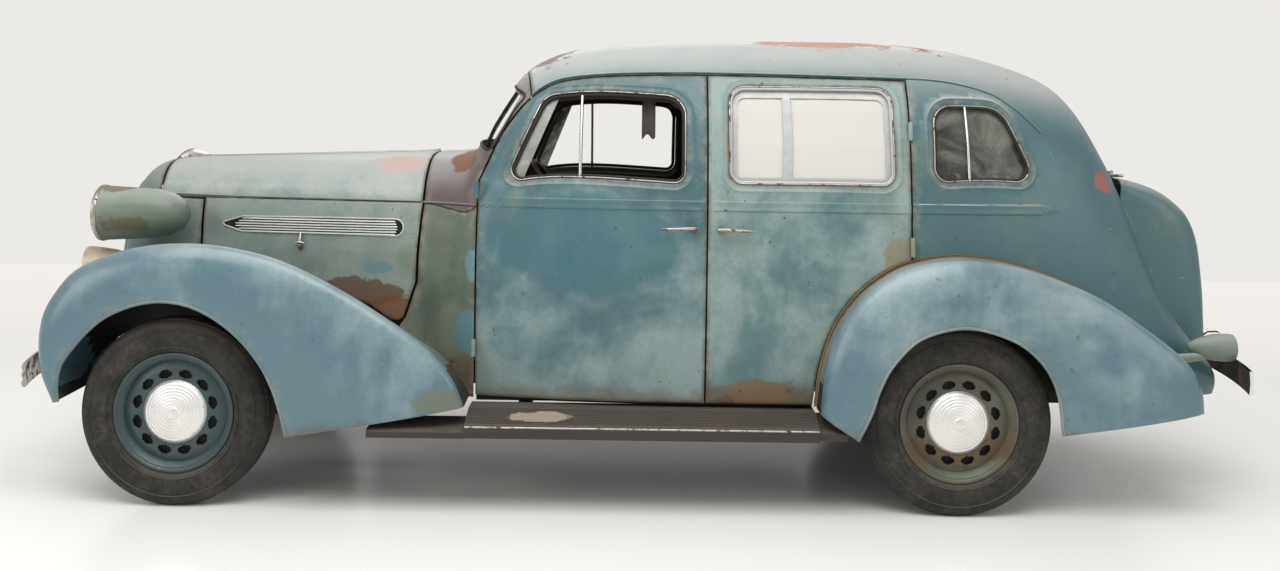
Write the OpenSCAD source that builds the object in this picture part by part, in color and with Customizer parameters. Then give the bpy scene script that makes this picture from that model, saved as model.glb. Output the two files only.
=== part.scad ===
// A weathered four-door touring sedan of the mid 1930s, as an assembly of its real panels and pieces.
// Millimetres. +X runs to the rear, +Y to the car's right, +Z up. The origin is on the ground,
// under the middle of the car's length. Inside the modules x is measured from the front axle.

/* [Overall] */
// Distance from the front axle to the rear axle
wheelbase = 2962; // [2800:1:3200]
// From the front face of the front bumper to the front axle
front_overhang = 690; // [660:1:760]
// From the rear axle to the rear face of the rear bumper
rear_overhang = 1228; // [1210:1:1300]
// Distance between the centres of the two tyres of one axle
track = 1450; // [1430:1:1480]

/* [Body] */
// Half width of the body at the widest place
body_half_w = 728; // [700:1:750]
// Height of the roof's highest point
roof_top = 1828; // [1780:1:1880]
// Height of the body's lower edge at the sills
sill_z = 384; // [370:1:400]
// Thickness of a whole door or side wall
wall = 58; // [45:1:65]
// Thickness of the roof with its headliner
roof_wall = 26; // [18:1:34]
// Depth of the door skin's lip that laps over the pillars
lip = 12; // [8:1:14]
// How far the door's inner part is stepped back inside its lip
lip_step = 26; // [20:1:32]
// Gap round each door, lid and hood panel
panel_gap = 7; // [6:0.5:9]
// Thickness of the window glass
glass_t = 6; // [4:0.5:8]

/* [Fenders] */
// Distance from the centre plane to the outside of the fenders
fender_half_w = 880; // [870:1:920]
// Thickness of a fender
fender_t = 14; // [8:1:18]

/* [Wheels] */
// Tyre radius, unloaded
tyre_r = 354; // [345:1:362]
// Tyre section width
tyre_w = 158; // [145:1:165]
// How far the tyre is pressed flat where it stands
tyre_flat = 4; // [2:1:8]
// Radius of the rim's flange
rim_r = 223; // [215:1:230]
// Radius of the hub cap
cap_r = 122; // [110:1:130]
// Radius of the wheel bearing's spindle
spindle_r = 16; // [14:0.5:20]

/* [Motion] */
// Distance of the kingpin from the centre plane
kingpin_y = 640; // [630:1:645]

/* [Hidden] */
$fn = 48;

length = front_overhang + wheelbase + rear_overhang;
front_axle_x = front_overhang - length / 2;
wheel_z = tyre_r - tyre_flat;
paint = "cadetblue";
dark = "dimgray";
tail_shift = wheelbase - 2962;
roof_shift = roof_top - 1828;

// ---- curves: smooth interpolation through a few chosen points ----

function seg(t, x, i = 0) = i >= len(t) - 2 || x < t[i + 1][0] ? i : seg(t, x, i + 1);
function slope(t, i) =
    i <= 0 ? (t[1][1] - t[0][1]) / (t[1][0] - t[0][0])
    : i >= len(t) - 1 ? (t[i][1] - t[i - 1][1]) / (t[i][0] - t[i - 1][0])
    : (t[i + 1][1] - t[i - 1][1]) / (t[i + 1][0] - t[i - 1][0]);
function curve(t, x) =
    let (
        i = seg(t, x),
        a = t[i],
        b = t[i + 1],
        h = b[0] - a[0],
        u = (x - a[0]) / h,
        m0 = slope(t, i) * h,
        m1 = slope(t, i + 1) * h
    )
    (2 * u * u * u - 3 * u * u + 1) * a[1] + (u * u * u - 2 * u * u + u) * m0
        + (3 * u * u - 2 * u * u * u) * b[1] + (u * u * u - u * u) * m1;
function shifted(t, dx) = [for (p = t) [p[0] + dx, p[1]]];
function mix(a, b, u) = a + (b - a) * u;

// ---- the body's surface: arched sections along x ----

// height of the body over the centre plane
top_line = concat(
    [[-484, 897], [-468, 1000], [-426, 1140], [-379, 1222], [-327, 1265], [-261, 1287], [0, 1300], [400,
        1315]],
    [[870, 1334], [1000, 1343], [1062, 1360], [1108, 1450], [1184, 1574], [1260, 1682]],
    [for (p = [[1374, 1750], [1490, 1785], [1645, 1807], [2000, 1824], [2400, 1828]]) [p[0],
        p[1] + roof_shift]],
    [for (p = [[2700, 1826], [2900, 1812], [3060, 1790], [3200, 1757], [3340, 1714]])
        [p[0] + tail_shift, p[1] + roof_shift]],
    shifted([[3450, 1662], [3545, 1570], [3631, 1431], [3696, 1305], [3762, 1133], [3828, 960],
        [3910, 803], [3991, 693], [4087, 576]], tail_shift)
);
// half width of the body seen from above, as a share of the widest place
plan_line = concat(
    [[-484, 0.09], [-468, 0.19], [-426, 0.28], [-379, 0.34], [-327, 0.387], [-261, 0.43], [-58, 0.49]],
    [[300, 0.565], [600, 0.62], [870, 0.672], [960, 0.745], [1107, 0.872], [1400, 0.955], [1700, 0.992],
        [2100, 1]],
    shifted([[2700, 0.998], [3000, 0.985], [3300, 0.935], [3600, 0.845], [3850, 0.745], [4087, 0.63]],
        tail_shift)
);
// height at which a section is widest
waist_line = concat(
    [[-484, 720], [-426, 850], [-261, 910], [0, 930], [870, 930], [1500, 900]],
    shifted([[2800, 900], [3200, 850], [3500, 740], [3800, 600], [4087, 460]], tail_shift)
);
// height of the lower edge
foot_line = concat([[-484, 560], [620, 560], [760, sill_z], [870, sill_z], [2700, sill_z]],
    shifted([[3300, sill_z], [3900, 396], [4087, 400]], tail_shift));
lean = 0.06;
crown = 40;
side_tuck = 26;

// point of the section at x, a from 0 at the waist to 90 at the top, d is the depth under the skin
function arch_y(w, b, t, a) = (w - lean * (arch_z(b, t, a) - b)) * pow(cos(a), 0.45);
function arch_z(b, t, a) = b + (t - b) * pow(sin(a), 0.72);
function half_section(x, d, dt) =
    let (
        w = body_half_w * curve(plan_line, x) - d,
        t = curve(top_line, x) - dt - crown,
        b = min(curve(waist_line, x), t - 60),
        f = curve(foot_line, x)
    )
    concat(
        [for (k = [0:2]) let (z = mix(f, b, k / 3)) [x, w - side_tuck * pow((b - z) / (b - f), 2), z]],
        [for (a = [0, 14, 27, 39, 50, 60, 70, 80, 90])
            let (y = arch_y(w, b, t, a), z = arch_z(b, t, a))
            [x, a == 90 ? 0 : y, z + crown * (1 - pow(y / w, 2)) * pow(sin(a), 2)]]
    );
function ring(x, d, dt) =
    let (h = half_section(x, d, dt), n = len(h))
    concat([for (p = h) [p[0], -p[1], p[2]]], [for (i = [n - 2:-1:0]) h[i]]);

// a closed solid between two stacks of open rings, outer and inner
module skin(outer, inner) {
    m = len(outer);
    n = len(outer[0]);
    points = concat([for (r = outer) each r], [for (r = inner) each r]);
    function o(i, j) = i * n + j;
    function k(i, j) = m * n + i * n + j;
    function quad(a, b, c, d) = [[a, b, c], [a, c, d]];
    polyhedron(points, concat(
        [for (i = [0:m - 2], j = [0:n - 2]) each quad(o(i, j), o(i, j + 1), o(i + 1, j + 1), o(i + 1, j))],
        [for (i = [0:m - 2], j = [0:n - 2]) each quad(k(i, j), k(i + 1, j), k(i + 1, j + 1), k(i, j + 1))],
        [for (j = [0:n - 2]) each quad(o(0, j), k(0, j), k(0, j + 1), o(0, j + 1))],
        [for (j = [0:n - 2]) each quad(o(m - 1, j), o(m - 1, j + 1), k(m - 1, j + 1), k(m - 1, j))],
        [for (i = [0:m - 2]) each quad(o(i, 0), o(i + 1, 0), k(i + 1, 0), k(i, 0))],
        [for (i = [0:m - 2]) each quad(o(i, n - 1), k(i, n - 1), k(i + 1, n - 1), o(i + 1, n - 1))]
    ));
}

stations = concat(
    [-484, -477, -468, -450, -426, -402, -379, -353, -327, -295, -261, -200, -130, -58, 60, 200, 350,
        500, 650],
    [770, 870, 930, 1000, 1062, 1108, 1145, 1184, 1222, 1260, 1310, 1374, 1430, 1490, 1645, 1800, 2000,
        2200],
    [for (x = [2450, 2700, 2900, 3060, 3200, 3340, 3450, 3500, 3545, 3590, 3631, 3665, 3696, 3730, 3762,
        3795, 3828, 3870, 3910, 3950, 3991, 4040, 4087]) x + tail_shift]
);
// the body's shell from x0 to x1, from depth d0 to depth d1 under the skin
module shell(x0, x1, d0, d1, dt0 = 0, dt1 = roof_wall) {
    xs = [for (x = stations) if (x >= x0 && x <= x1) x];
    skin([for (x = xs) ring(x, d0, dt0)], [for (x = xs) ring(x, d1, dt1)]);
}
// extrudes an outline drawn in side view, (x, z), across the car from y0 to y1
module across(y0, y1) translate([0, y1, 0]) rotate([90, 0, 0]) linear_extrude(height = y1 - y0) children();
module both_sides() {
    children();
    mirror([0, 1, 0]) children();
}
module at_car() translate([front_axle_x, 0, 0]) children();
// a rectangle's block from its low corner to its high corner
module block(low, high) translate(low) cube(high - low);
module rod(a, b, r) {
    v = b - a;
    translate(a) rotate([0, acos(v[2] / norm(v)), atan2(v[1], v[0])]) cylinder(h = norm(v), r = r);
}

// ---- door outlines in side view ----

door_front_x = 1107;
pillar_x = 2005;
door_rear_x = 2791 + tail_shift;
rear_arch_x = wheelbase;
fender_gap = 12;
// the line over the doors, which is also the drip rail
rail_line = concat(
    [[1107, 1232], [1134, 1291], [1168, 1372], [1202, 1432], [1250, 1504], [1303, 1563], [1373, 1612],
        [1444, 1636], [1583, 1652], [1722, 1659], [2004, 1664]],
    shifted([[2791, 1652], [2960, 1640], [3132, 1598], [3219, 1545], [3292, 1481], [3328, 1446]],
        tail_shift)
);
// the rear fender's crown from its front foot over the wheel to its tail
rear_crown = shifted([[2434, 384], [2452, 540], [2500, 690], [2585, 815], [2690, 900], [2790, 945],
    [2932, 970],
    [3069, 965], [3207, 938], [3345, 893], [3483, 833], [3622, 746], [3775, 632], [3840, 560], [3872, 480],
    [3880, 410]], tail_shift);
module front_door_outline() {
    edge = [for (x = [1134, 1168, 1202, 1250, 1303, 1373, 1444, 1583, 1722]) [x, curve(rail_line, x)]];
    right = pillar_x;
    polygon(concat([[door_front_x, sill_z + 8], [door_front_x, 1232]], edge,
        [[right, curve(rail_line, right)], [right, sill_z + 8]]));
}
module rear_door_outline() {
    foot = [for (i = [5:-1:0]) [rear_crown[i][0] - fender_gap, rear_crown[i][1] + (i == 0 ? 8 : 3)]];
    left = pillar_x;
    polygon(concat([[left, sill_z + 8], [left, curve(rail_line, left)], [2400, curve(rail_line, 2400)],
        [door_rear_x, curve(rail_line, door_rear_x)], [door_rear_x, 958]], foot));
}
module round_window(low, high, r_low, r_high, cut = 0) {
    hull() {
        translate([low[0] + r_low, low[1] + r_low]) circle(r_low);
        translate([high[0] - r_low, low[1] + r_low]) circle(r_low);
        translate([high[0] - r_high, high[1] - r_high]) circle(r_high);
        translate([low[0] + r_high + cut, high[1] - r_high]) circle(r_high);
    }
}
module front_window() round_window([1236, 1236], [1922, 1584], 46, 88, 96);
module rear_window() round_window([2086, 1236], [2730, 1622], 52, 66);
module quarter_window() {
    hull() {
        translate([2936 + tail_shift, 1312]) circle(56);
        translate([3208 + tail_shift, 1316]) circle(58);
        translate([3096 + tail_shift, 1448]) circle(108);
        translate([2960 + tail_shift, 1482]) circle(76);
    }
}

// ---- doors ----

// a door: a lip of skin over a thicker inner part that is stepped back from the pillars
module door(x0, x1) {
    difference() {
        union() {
            intersection() {
                shell(x0, x1, 0, lip, 0, lip);
                across(-900, -300) offset(delta = -panel_gap / 2) children(0);
            }
            intersection() {
                shell(x0, x1, lip - 1, wall, lip - 1, wall);
                across(-900, -300) offset(delta = -panel_gap / 2 - lip_step) children(0);
            }
        }
        across(-900, -300) children(1);
    }
}
// hinges: a pin with an ear at each end on the body, and a barrel between them on the moving piece
hinge_r = 9;
pin_r = 5;
hinge_low = [door_front_x, -(skin_y(door_front_x, 587) + 34), 587];
hinge_high = [door_front_x, -(skin_y(door_front_x, 1197) + 37), 1197];
hinge_axis = (hinge_high - hinge_low) / norm(hinge_high - hinge_low);
// the rear doors' hinge line leans inwards with the body
rear_hinge_low = [door_rear_x, -(skin_y(2791 + tail_shift, 1007) + 15), 1007];
rear_hinge_high = [door_rear_x, -(skin_y(2791 + tail_shift, 1451) + 15), 1451];
rear_hinge_axis = (rear_hinge_high - rear_hinge_low) / norm(rear_hinge_high - rear_hinge_low);
ear = 16;
module body_ears(h, side, reach) {
    cylinder(h = h, r = pin_r);
    for (z = [0, h - ear]) {
        translate([0, 0, z]) cylinder(h = ear, r = hinge_r);
        translate([side > 0 ? 0 : -26, 0, z]) cube([26, 14, ear]);
    }
    translate([side > 0 ? 16 : -26, 6, 0]) cube([10, reach - 4, h]);
}
module door_barrel(h, side, reach) difference() {
    union() {
        translate([0, 0, ear + 0.5]) cylinder(h = h - 2 * ear - 1, r = hinge_r);
        translate([side > 0 ? 0 : -26, 0, ear + 0.5]) cube([26, reach, h - 2 * ear - 1]);
    }
    translate([0, 0, -1]) cylinder(h = h + 2, r = pin_r + 0.3);
}
module at_front_hinges() for (p = [hinge_low, hinge_high])
    translate(p - 33 * hinge_axis) rotate([-asin(hinge_axis[1]), 0, 0]) children();
module at_rear_hinges() for (p = [rear_hinge_low, rear_hinge_high])
    translate(p - 36 * rear_hinge_axis) rotate([-asin(rear_hinge_axis[1]), 0, 0]) children();
module handle(x, z, y, tip) {
    block([x - 14, y - 34, z - 9], [x + 14, y + 12, z + 9]);
    translate([x, y - 40, z]) rotate([0, tip * 90, 0]) cylinder(h = 112, r1 = 11, r2 = 4);
}
module front_door() {
    door(1062, 2200) {
        front_door_outline();
        front_window();
    }
    at_front_hinges() door_barrel(65, 1, 52);
    handle(1845, 1067, -skin_y(1845, 1067), 1);
    across(-skin_y(1500, 1400) + 8, -skin_y(1500, 1400) + 34) polygon([[1500, 1230], [1520, 1230], [1520,
        1592],
        [1500, 1592]]);
}
module rear_door() {
    door(1800, 2900 + tail_shift) {
        rear_door_outline();
        rear_window();
    }
    at_rear_hinges() door_barrel(72, -1, 20);
    handle(2078, 1064, -skin_y(2078, 1064), 1);
}
// half width of the skin at a place on the side
function skin_y(x, z) =
    let (h = half_section(x, 0, 0), i = seg([for (p = h) [p[2], p[1]]], z), p = h[i], q = h[i + 1])
    mix(p[1], q[1], (z - p[2]) / (q[2] - p[2]));
// a pane that stands in a door or panel, filling an outline from depth d under the skin
module pane(x0, x1, d) {
    intersection() {
        shell(x0, x1, d, d + glass_t, d, d + glass_t);
        across(-900, -300) offset(delta = -1) children();
    }
}
module front_door_left() color(paint) at_car() front_door();
module front_door_right() color(paint) at_car() mirror([0, 1, 0]) front_door();
module rear_door_left() color(paint) at_car() rear_door();
module rear_door_right() color(paint) at_car() mirror([0, 1, 0]) rear_door();

// the front door's glass: the left one has only its vent pane, the main pane is gone
vent_x = 1510;
pane_depth = 22;
module vent_pane() pane(1145, 1645, pane_depth) intersection() {
    front_window();
    translate([1200, 1200]) square([vent_x - 10 - 1200, 500]);
}
module main_pane() pane(1430, 2200, pane_depth) intersection() {
    front_window();
    translate([vent_x + 10, 1200]) square([600, 500]);
}
module front_door_left_glass() color("lightgray", 0.4) at_car() vent_pane();
module front_door_right_glass() color("lightgray", 0.4) at_car() mirror([0, 1, 0]) {
    vent_pane();
    main_pane();
}
module rear_door_left_card() color("white") at_car() pane(1800, 2900 + tail_shift,
    pane_depth) rear_window();
module rear_door_right_glass() color("lightgray", 0.4) at_car() mirror([0, 1, 0])
    pane(1800, 2900 + tail_shift, pane_depth) rear_window();

// ---- fixed body panels ----

seam = 0.5;
// the cut between the cowl's windshield frame and the roof, in side view
header = [[1303, 1566], [1130, 1730]];
// the hood's rear edge in side view, from the top down
hood_rear = [[868, 1400], [868, 1140], [850, 816], [802, 672], [778, 655]];
hood_foot = 655;
hood_front = -55;
hood_top_front = -258;
hood_split_z = 1134;

windshield_tilt = 30;
windshield_v = 6;
module windshield_cut(deep, grow = 0) {
    translate([1090, 0, 1362]) rotate([0, windshield_tilt, 0])
        both_sides() rotate([0, 0, windshield_v]) translate([-deep / 2, 0, 0]) rotate([90, 0, 90])
            linear_extrude(height = deep) offset(r = 30 + grow) offset(r = -30)
                polygon([[-14, 12], [-546, 12], [-506, 280], [-14, 288]]);
}
// fills the body's section at x with a sheet, down to z0
module bulkhead(x, t, d, z0) {
    foot_y = skin_y(x, z0) - d;
    points = concat([[-foot_y, z0]], [for (p = ring(x, d, d)) if (p[2] > z0 + 5) [p[1], p[2]]], [[foot_y,
        z0]]);
    difference() {
        translate([x, 0, 0]) rotate([90, 0, 90]) linear_extrude(height = t) polygon(points);
        rod(column_foot, column_top, 22.5);
    }
}
module cowl() color(paint) at_car() {
    difference() {
        intersection() {
            shell(770, 1374, 0, 34, 0, 30);
            across(-900, 900) polygon(concat(
                [for (i = [4:-1:1]) hood_rear[i] + [panel_gap, i == 4 ? -15 : 0]],
                [[868 + panel_gap, 1500]], [[header[1][0] - 60, 1730], header[1] - [seam, 0],
                    header[0] - [seam, 0]],
                [[1250, 1509], [1202, 1438], [1168, 1378], [1134, 1298], [1107 - panel_gap / 2, 1232]],
                [[door_front_x - panel_gap / 2, sill_z - 2], [778, sill_z - 2]]
            ));
        }
        windshield_cut(200);
    }
    bulkhead(890, 6, 33, floor_z);
    both_sides() at_front_hinges() body_ears(65, -1, 52);
}
module windshield_glass() color("lightgray", 0.4) at_car()
    intersection() {
        windshield_cut(glass_t, -seam);
        translate([900, -900, 1200]) cube([500, 1800, 600]);
    }
module roof() color(paint) at_car() difference() {
    intersection() {
        shell(1062, 3500 + tail_shift, 0, roof_wall, 0, roof_wall);
        across(-900, 900) polygon(concat(
            [header[1] + [seam, 0], header[0] + [seam, 0]],
            [for (x = [1340, 1373, 1444, 1583, 1722, 2004, 2400]) [x, curve(rail_line, x) + panel_gap / 2]],
            [[door_rear_x, 1652 + panel_gap / 2], [2960 + tail_shift, 1655], [3450 + tail_shift, 1655],
                [3450 + tail_shift, 1950], [1130, 1950]]
        ));
    }
}
// the wheel house over a rear wheel
well_r = 436;
well_t = 10;
house_y = 596;
module wheel_tube(r, y0, y1) translate([rear_arch_x, y0, wheel_z]) rotate([-90, 0,
    0]) cylinder(h = y1 - y0, r = r);
module wheel_houses() color(dark) at_car() both_sides() difference() {
    wheel_tube(well_r + well_t, -700, -house_y);
    wheel_tube(well_r, -701, -house_y - well_t);
    block([rear_arch_x - 500, -701, -200], [rear_arch_x + 500, -500, 430]);
}
well_sides = 40;
well_cut_r = (well_r + well_t + seam) / cos(180 / well_sides);
module quarter_outline() {
    foot = [for (i = [0:5]) [rear_crown[i][0] - fender_gap, rear_crown[i][1] + (i == 0 ? 0 : 3)]];
    polygon(concat(foot, [[door_rear_x + panel_gap / 2, 958], [door_rear_x + panel_gap / 2, 1654],
        [3450 + tail_shift + seam, 1654], [3450 + tail_shift + seam, 1950], [4200 + tail_shift, 1950],
        [4200 + tail_shift, 300], [2426 + tail_shift, 300]]));
}
module well_outline() polygon([for (i = [0:well_sides - 1]) [rear_arch_x + well_cut_r * cos(i * 360 / well_sides),
    wheel_z + well_cut_r * sin(i * 360 / well_sides)]]);
trunk_half_w = 400;
module quarter_panels() color(paint) at_car() both_sides() {
    difference() {
        intersection() {
            shell(2200, 4087 + tail_shift, 0, wall, 0, roof_wall);
            across(-900, -trunk_half_w - seam) quarter_outline();
        }
        across(-900, -300) quarter_window();
        across(-900, -300) well_outline();
    }
    at_rear_hinges() body_ears(72, 1, 20);
}

// the trunk's bulge over the sloping tail: its centre profile and the line that its sides go down to
trunk_x = 3713 + tail_shift;
trunk_top = shifted([[3713, 1276], [3776, 1264], [3856, 1242], [3920, 1215], [3975, 1176], [4018, 1135],
    [4052, 1074], [4072, 1000], [4084, 900], [4092, 800], [4094, 700], [4093, 610], [4088, 556]],
        tail_shift);
trunk_foot = shifted([[3713, 1170], [3722, 1140], [3734, 1105], [3748, 1060], [3764, 1010], [3782, 960],
    [3802, 900], [3826, 850], [3856, 790], [3890, 730], [3930, 670], [3965, 610], [3990, 560]], tail_shift);
trunk_t = 16;
// points of a section from its left foot to its right foot: share of the half width, share of the height
trunk_arch = [[-1, 0], [-1, 0.6], [-0.985, 0.74], [-0.945, 0.86], [-0.87, 0.94], [-0.74, 0.98], [-0.4,
    0.997], [0, 1],
    [0.4, 0.997], [0.74, 0.98], [0.87, 0.94], [0.945, 0.86], [0.985, 0.74], [1, 0.6], [1, 0]];
function trunk_ring(i, d) =
    let (p = trunk_top[i], q = trunk_foot[i], top = p - d * (p - q) / norm(p - q))
    [for (a = trunk_arch) let (g = q + (top - q) * a[1]) [g[0], a[0] * (trunk_half_w - d), g[1]]];
module trunk_shell() {
    n = len(trunk_top) - 1;
    skin([for (i = [0:n]) trunk_ring(i, 0)], [for (i = [0:n]) trunk_ring(i, trunk_t)]);
}
lid_half_w = 320;
lid_foot_z = 640;
lid_front_x = 3742 + tail_shift;
// the lid's outline from behind, grown by its gap
module lid_cut(grow) intersection() {
    rotate([90, 0, 90]) linear_extrude(height = 4500) offset(r = 60 + grow) offset(r = -60)
        polygon([[-lid_half_w, lid_foot_z], [lid_half_w, lid_foot_z], [lid_half_w, 1400], [-lid_half_w,
            1400]]);
    block([lid_front_x - grow, -600, 500], [4300 + tail_shift, 600, 1400]);
}
lid_hinge = [3730 + tail_shift, 230, 1292];
module along_y(p, y0, y1, r) translate([p[0], p[1] + y0, p[2]]) rotate([-90, 0, 0]) cylinder(h = y1 - y0,
    r = r);
module trunk_housing() color(paint) at_car() {
    difference() {
        trunk_shell();
        lid_cut(panel_gap);
    }
    both_sides() for (y = [-30, 12]) {
        along_y([lid_hinge[0], -lid_hinge[1], lid_hinge[2]], y, y + 18, hinge_r);
        block([lid_hinge[0] - hinge_r, -lid_hinge[1] + y, 1262], [lid_hinge[0] + 5,
            -lid_hinge[1] + y + 18, 1292]);
    }
    both_sides() along_y([lid_hinge[0], -lid_hinge[1], lid_hinge[2]], -30, 30, pin_r);
}
module tail_panel() color(paint) at_car() difference() {
    intersection() {
        shell(3450 + tail_shift, 3762 + tail_shift, 0, roof_wall, 0, roof_wall);
        block([3450 + tail_shift + seam, -trunk_half_w, 300], [trunk_x - seam, trunk_half_w, 1900]);
    }
    rotate([90, 0, 90]) linear_extrude(height = 3700 + tail_shift) rear_window_outline();
}
module rear_window_outline() offset(r = 50) offset(r = -50) translate([-320, 1490]) square([640, 138]);
module trunk_lid() color(paint) at_car() {
    intersection() {
        trunk_shell();
        lid_cut(0);
    }
    translate([4106 + tail_shift, 0, 690]) rotate([0, 90, 0]) cylinder(h = 26, r = 14);
    block([4090 + tail_shift, -14, 676], [4110 + tail_shift, 14, 704]);
    for (y = [-lid_hinge[1], lid_hinge[1]]) difference() {
        union() {
            along_y([lid_hinge[0], y, lid_hinge[2]], -11.5, 11.5, hinge_r);
            block([lid_hinge[0] + 6, y - 11.5, 1258], [lid_hinge[0] + 36, y + 11.5, 1296]);
        }
        along_y([lid_hinge[0], y, lid_hinge[2]], -20, 20, pin_r + 0.3);
    }
}
module body_glass() color("lightgray", 0.4) at_car() {
    both_sides() pane(2700 + tail_shift, 3450 + tail_shift, pane_depth) quarter_window();
    intersection() {
        shell(3450 + tail_shift, 3665 + tail_shift, 8, 8 + glass_t, 8, 8 + glass_t);
        rotate([90, 0, 90]) linear_extrude(height = 3700 + tail_shift) offset(delta = -seam) rear_window_outline();
    }
}
// floor, sills and the pillars between the doors
floor_z = 508;
floor_t = 12;
rear_floor_z = 608;
riser_x = 2500;
post_half = 20;
post_d = lip + 6;
floor_stations = [905, 960, 1030, 1100, 1107, 1300, 1600, 2005, 2300, riser_x + floor_t];
rear_floor_stations = concat([riser_x], [for (x = [2700, 2900, 3100, 3300, 3500, 3690]) x + tail_shift]);
// half width of the floor that reaches to depth d under the skin
function floor_side(xs, z, d, side) = [for (x = xs) [x, side * (skin_y(x,
    z) - (x < door_front_x ? 37 : d))]];
module floor_plate(xs, z, d) translate([0, 0, z]) linear_extrude(height = floor_t)
    polygon(concat(floor_side(xs, z, d, -1), [for (i = [len(xs) - 1:-1:0]) floor_side([xs[i]], z, d,
        1)[0]]));
module body_floor() color(dark) at_car() {
    floor_plate(floor_stations, floor_z, wall + 14);
    floor_plate(rear_floor_stations, rear_floor_z, wall + 80);
    block([riser_x, -560, floor_z], [riser_x + floor_t, 560, rear_floor_z + floor_t]);
    both_sides() {
        intersection() {
            shell(1062, 2700, post_d, wall + 40, post_d, 60);
            across(-900, -300) polygon([[door_front_x + 16, sill_z + 1], [2420, sill_z + 1], [2420,
                sill_z + 30],
                [door_front_x + 16, sill_z + 30]]);
        }
        intersection() {
            shell(1062, 2700, wall + 8, wall + 20, 40, 60);
            across(-900, -300) polygon([[door_front_x + 4, sill_z + 1], [2420, sill_z + 1], [2420,
                floor_z + 40],
                [door_front_x + 4, floor_z + 40]]);
        }
        intersection() {
            shell(1800, 2200, post_d, wall + 24, post_d, wall + 24);
            across(-900, -300) polygon([[pillar_x - post_half, sill_z + 1], [pillar_x + post_half,
                sill_z + 1],
                [pillar_x + post_half, curve(rail_line, 2005) + panel_gap / 2 - seam],
                [pillar_x - post_half, curve(rail_line, 2005) + panel_gap / 2 - seam]]);
        }
    }
}
// ---- hood, grille and front trim ----

hood_t = 8;
strip_half_w = 24;
module hood_outline() polygon([[hood_top_front, hood_split_z], [hood_top_front, 1400], hood_rear[0],
    hood_rear[1],
    hood_rear[2], hood_rear[3], hood_rear[4], [hood_front, hood_foot], [hood_front, hood_split_z]]);
module hood() intersection() {
    shell(-295, 870, 0, hood_t, 0, hood_t);
    across(-900, -strip_half_w - 0.6) hood_outline();
}
module hood_left() color(paint) at_car() hood();
module hood_right() color(paint) at_car() mirror([0, 1, 0]) hood();
module hood_strip() color("silver") at_car() intersection() {
    shell(-295, 930, -5, 12, -5, 12);
    block([hood_top_front - panel_gap + 0.3, -strip_half_w, 1000], [868 + panel_gap - 0.3, strip_half_w,
        1500]);
}
module grille_opening(grow = 0) rotate([90, 0, 90]) translate([0, 0, -520]) linear_extrude(height = 250)
    offset(delta = grow) offset(r = 60) offset(r = -60) polygon([[-96, 610], [96, 610], [196, 1010],
        [170, 1130],
        [90, 1190], [-90, 1190], [-170, 1130], [-196, 1010]]);
module grille_shell() color(paint) at_car() difference() {
    intersection() {
        shell(-484, 60, 0, 12, 0, 12);
        across(-900, 900) polygon([[-500, 540], [hood_front - panel_gap, 540], [hood_front - panel_gap,
            hood_split_z
            - panel_gap], [hood_top_front - panel_gap, hood_split_z - panel_gap],
                [hood_top_front - panel_gap, 1400],
            [-500, 1400]]);
    }
    grille_opening();
}
grille_bars = 13;
module grille() color("silver") at_car() intersection() {
    shell(-484, -200, 3, 14, 3, 14);
    grille_opening(-seam);
    union() {
        for (i = [0:grille_bars - 1]) block([-600, -300, 622 + i * 44], [0, 300, 636 + i * 44]);
        block([-600, -12, 600], [0, 12, 1300]);
    }
}
module radiator() color(dark) at_car() block([-190, -215, 520], [-120, 215, 1090]);
module engine() color("slategray") at_car() block([20, -150, 452.3], [790, 150, 1010]);

lamp_y = 470;
lamp_z = 1075;
lamp_r = 106;
lamp_x = -418;
lamp_len = 365;
module lamp_shell(x, y, z, r, len) translate([x, y, z]) rotate([0, 90, 0]) rotate([0, 0,
    90]) rotate_extrude()
    polygon([[r - 8, 4], [r - 8, 0], [r, 0], [r + 4, 8], [r + 3, 0.18 * len], [0.97 * r, 0.38 * len],
        [0.8 * r, 0.6 * len],
        [0.55 * r, 0.8 * len], [0.26 * r, 0.95 * len], [0, len], [0, 0.9 * len], [0.3 * r, 0.82 * len],
        [0.62 * r, 0.55 * len], [0.9 * r, 0.2 * len]]);
small_lamp = [-478, -450, 875];
small_r = 62;
small_len = 186;
module lamps() color(paint) at_car() both_sides() {
    lamp_shell(lamp_x, -lamp_y, lamp_z, lamp_r, lamp_len);
    difference() {
        rod([lamp_x + 140, -lamp_y + 50, lamp_z - 38], [lamp_x + 175, -200, 975], 20);
        shell(-484, 60, -seam, 40, -seam, 40);
        block([-900, -290, 0], [0, 0, 1400]);
        translate([lamp_x + 10, -lamp_y, lamp_z]) rotate([0, 90, 0]) cylinder(h = 120, r = 80);
    }
    lamp_shell(small_lamp[0], small_lamp[1], small_lamp[2], small_r, small_len);
    difference() {
        rod([small_lamp[0] + 60, small_lamp[1], small_lamp[2] - 30], [small_lamp[0] + 60, small_lamp[1],
            440], 11);
        translate(small_lamp) rotate([0, 90, 0]) cylinder(h = small_len, r = small_r - 9);
    }
    block([small_lamp[0] + 48, small_lamp[1] - 11, 440], [small_lamp[0] + 72, -rail_out - 0.4, 462]);
}
module lamp_lenses() color("lightyellow", 0.5) at_car() both_sides() {
    translate([lamp_x, -lamp_y, lamp_z]) rotate([0, 90, 0]) cylinder(h = 8, r = lamp_r - 8.5);
    translate(small_lamp) rotate([0, 90, 0]) cylinder(h = 8, r = small_r - 8.5);
}

// ---- fenders and running boards ----

crown_y = 800;
lip_y = fender_half_w - 7;
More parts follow.
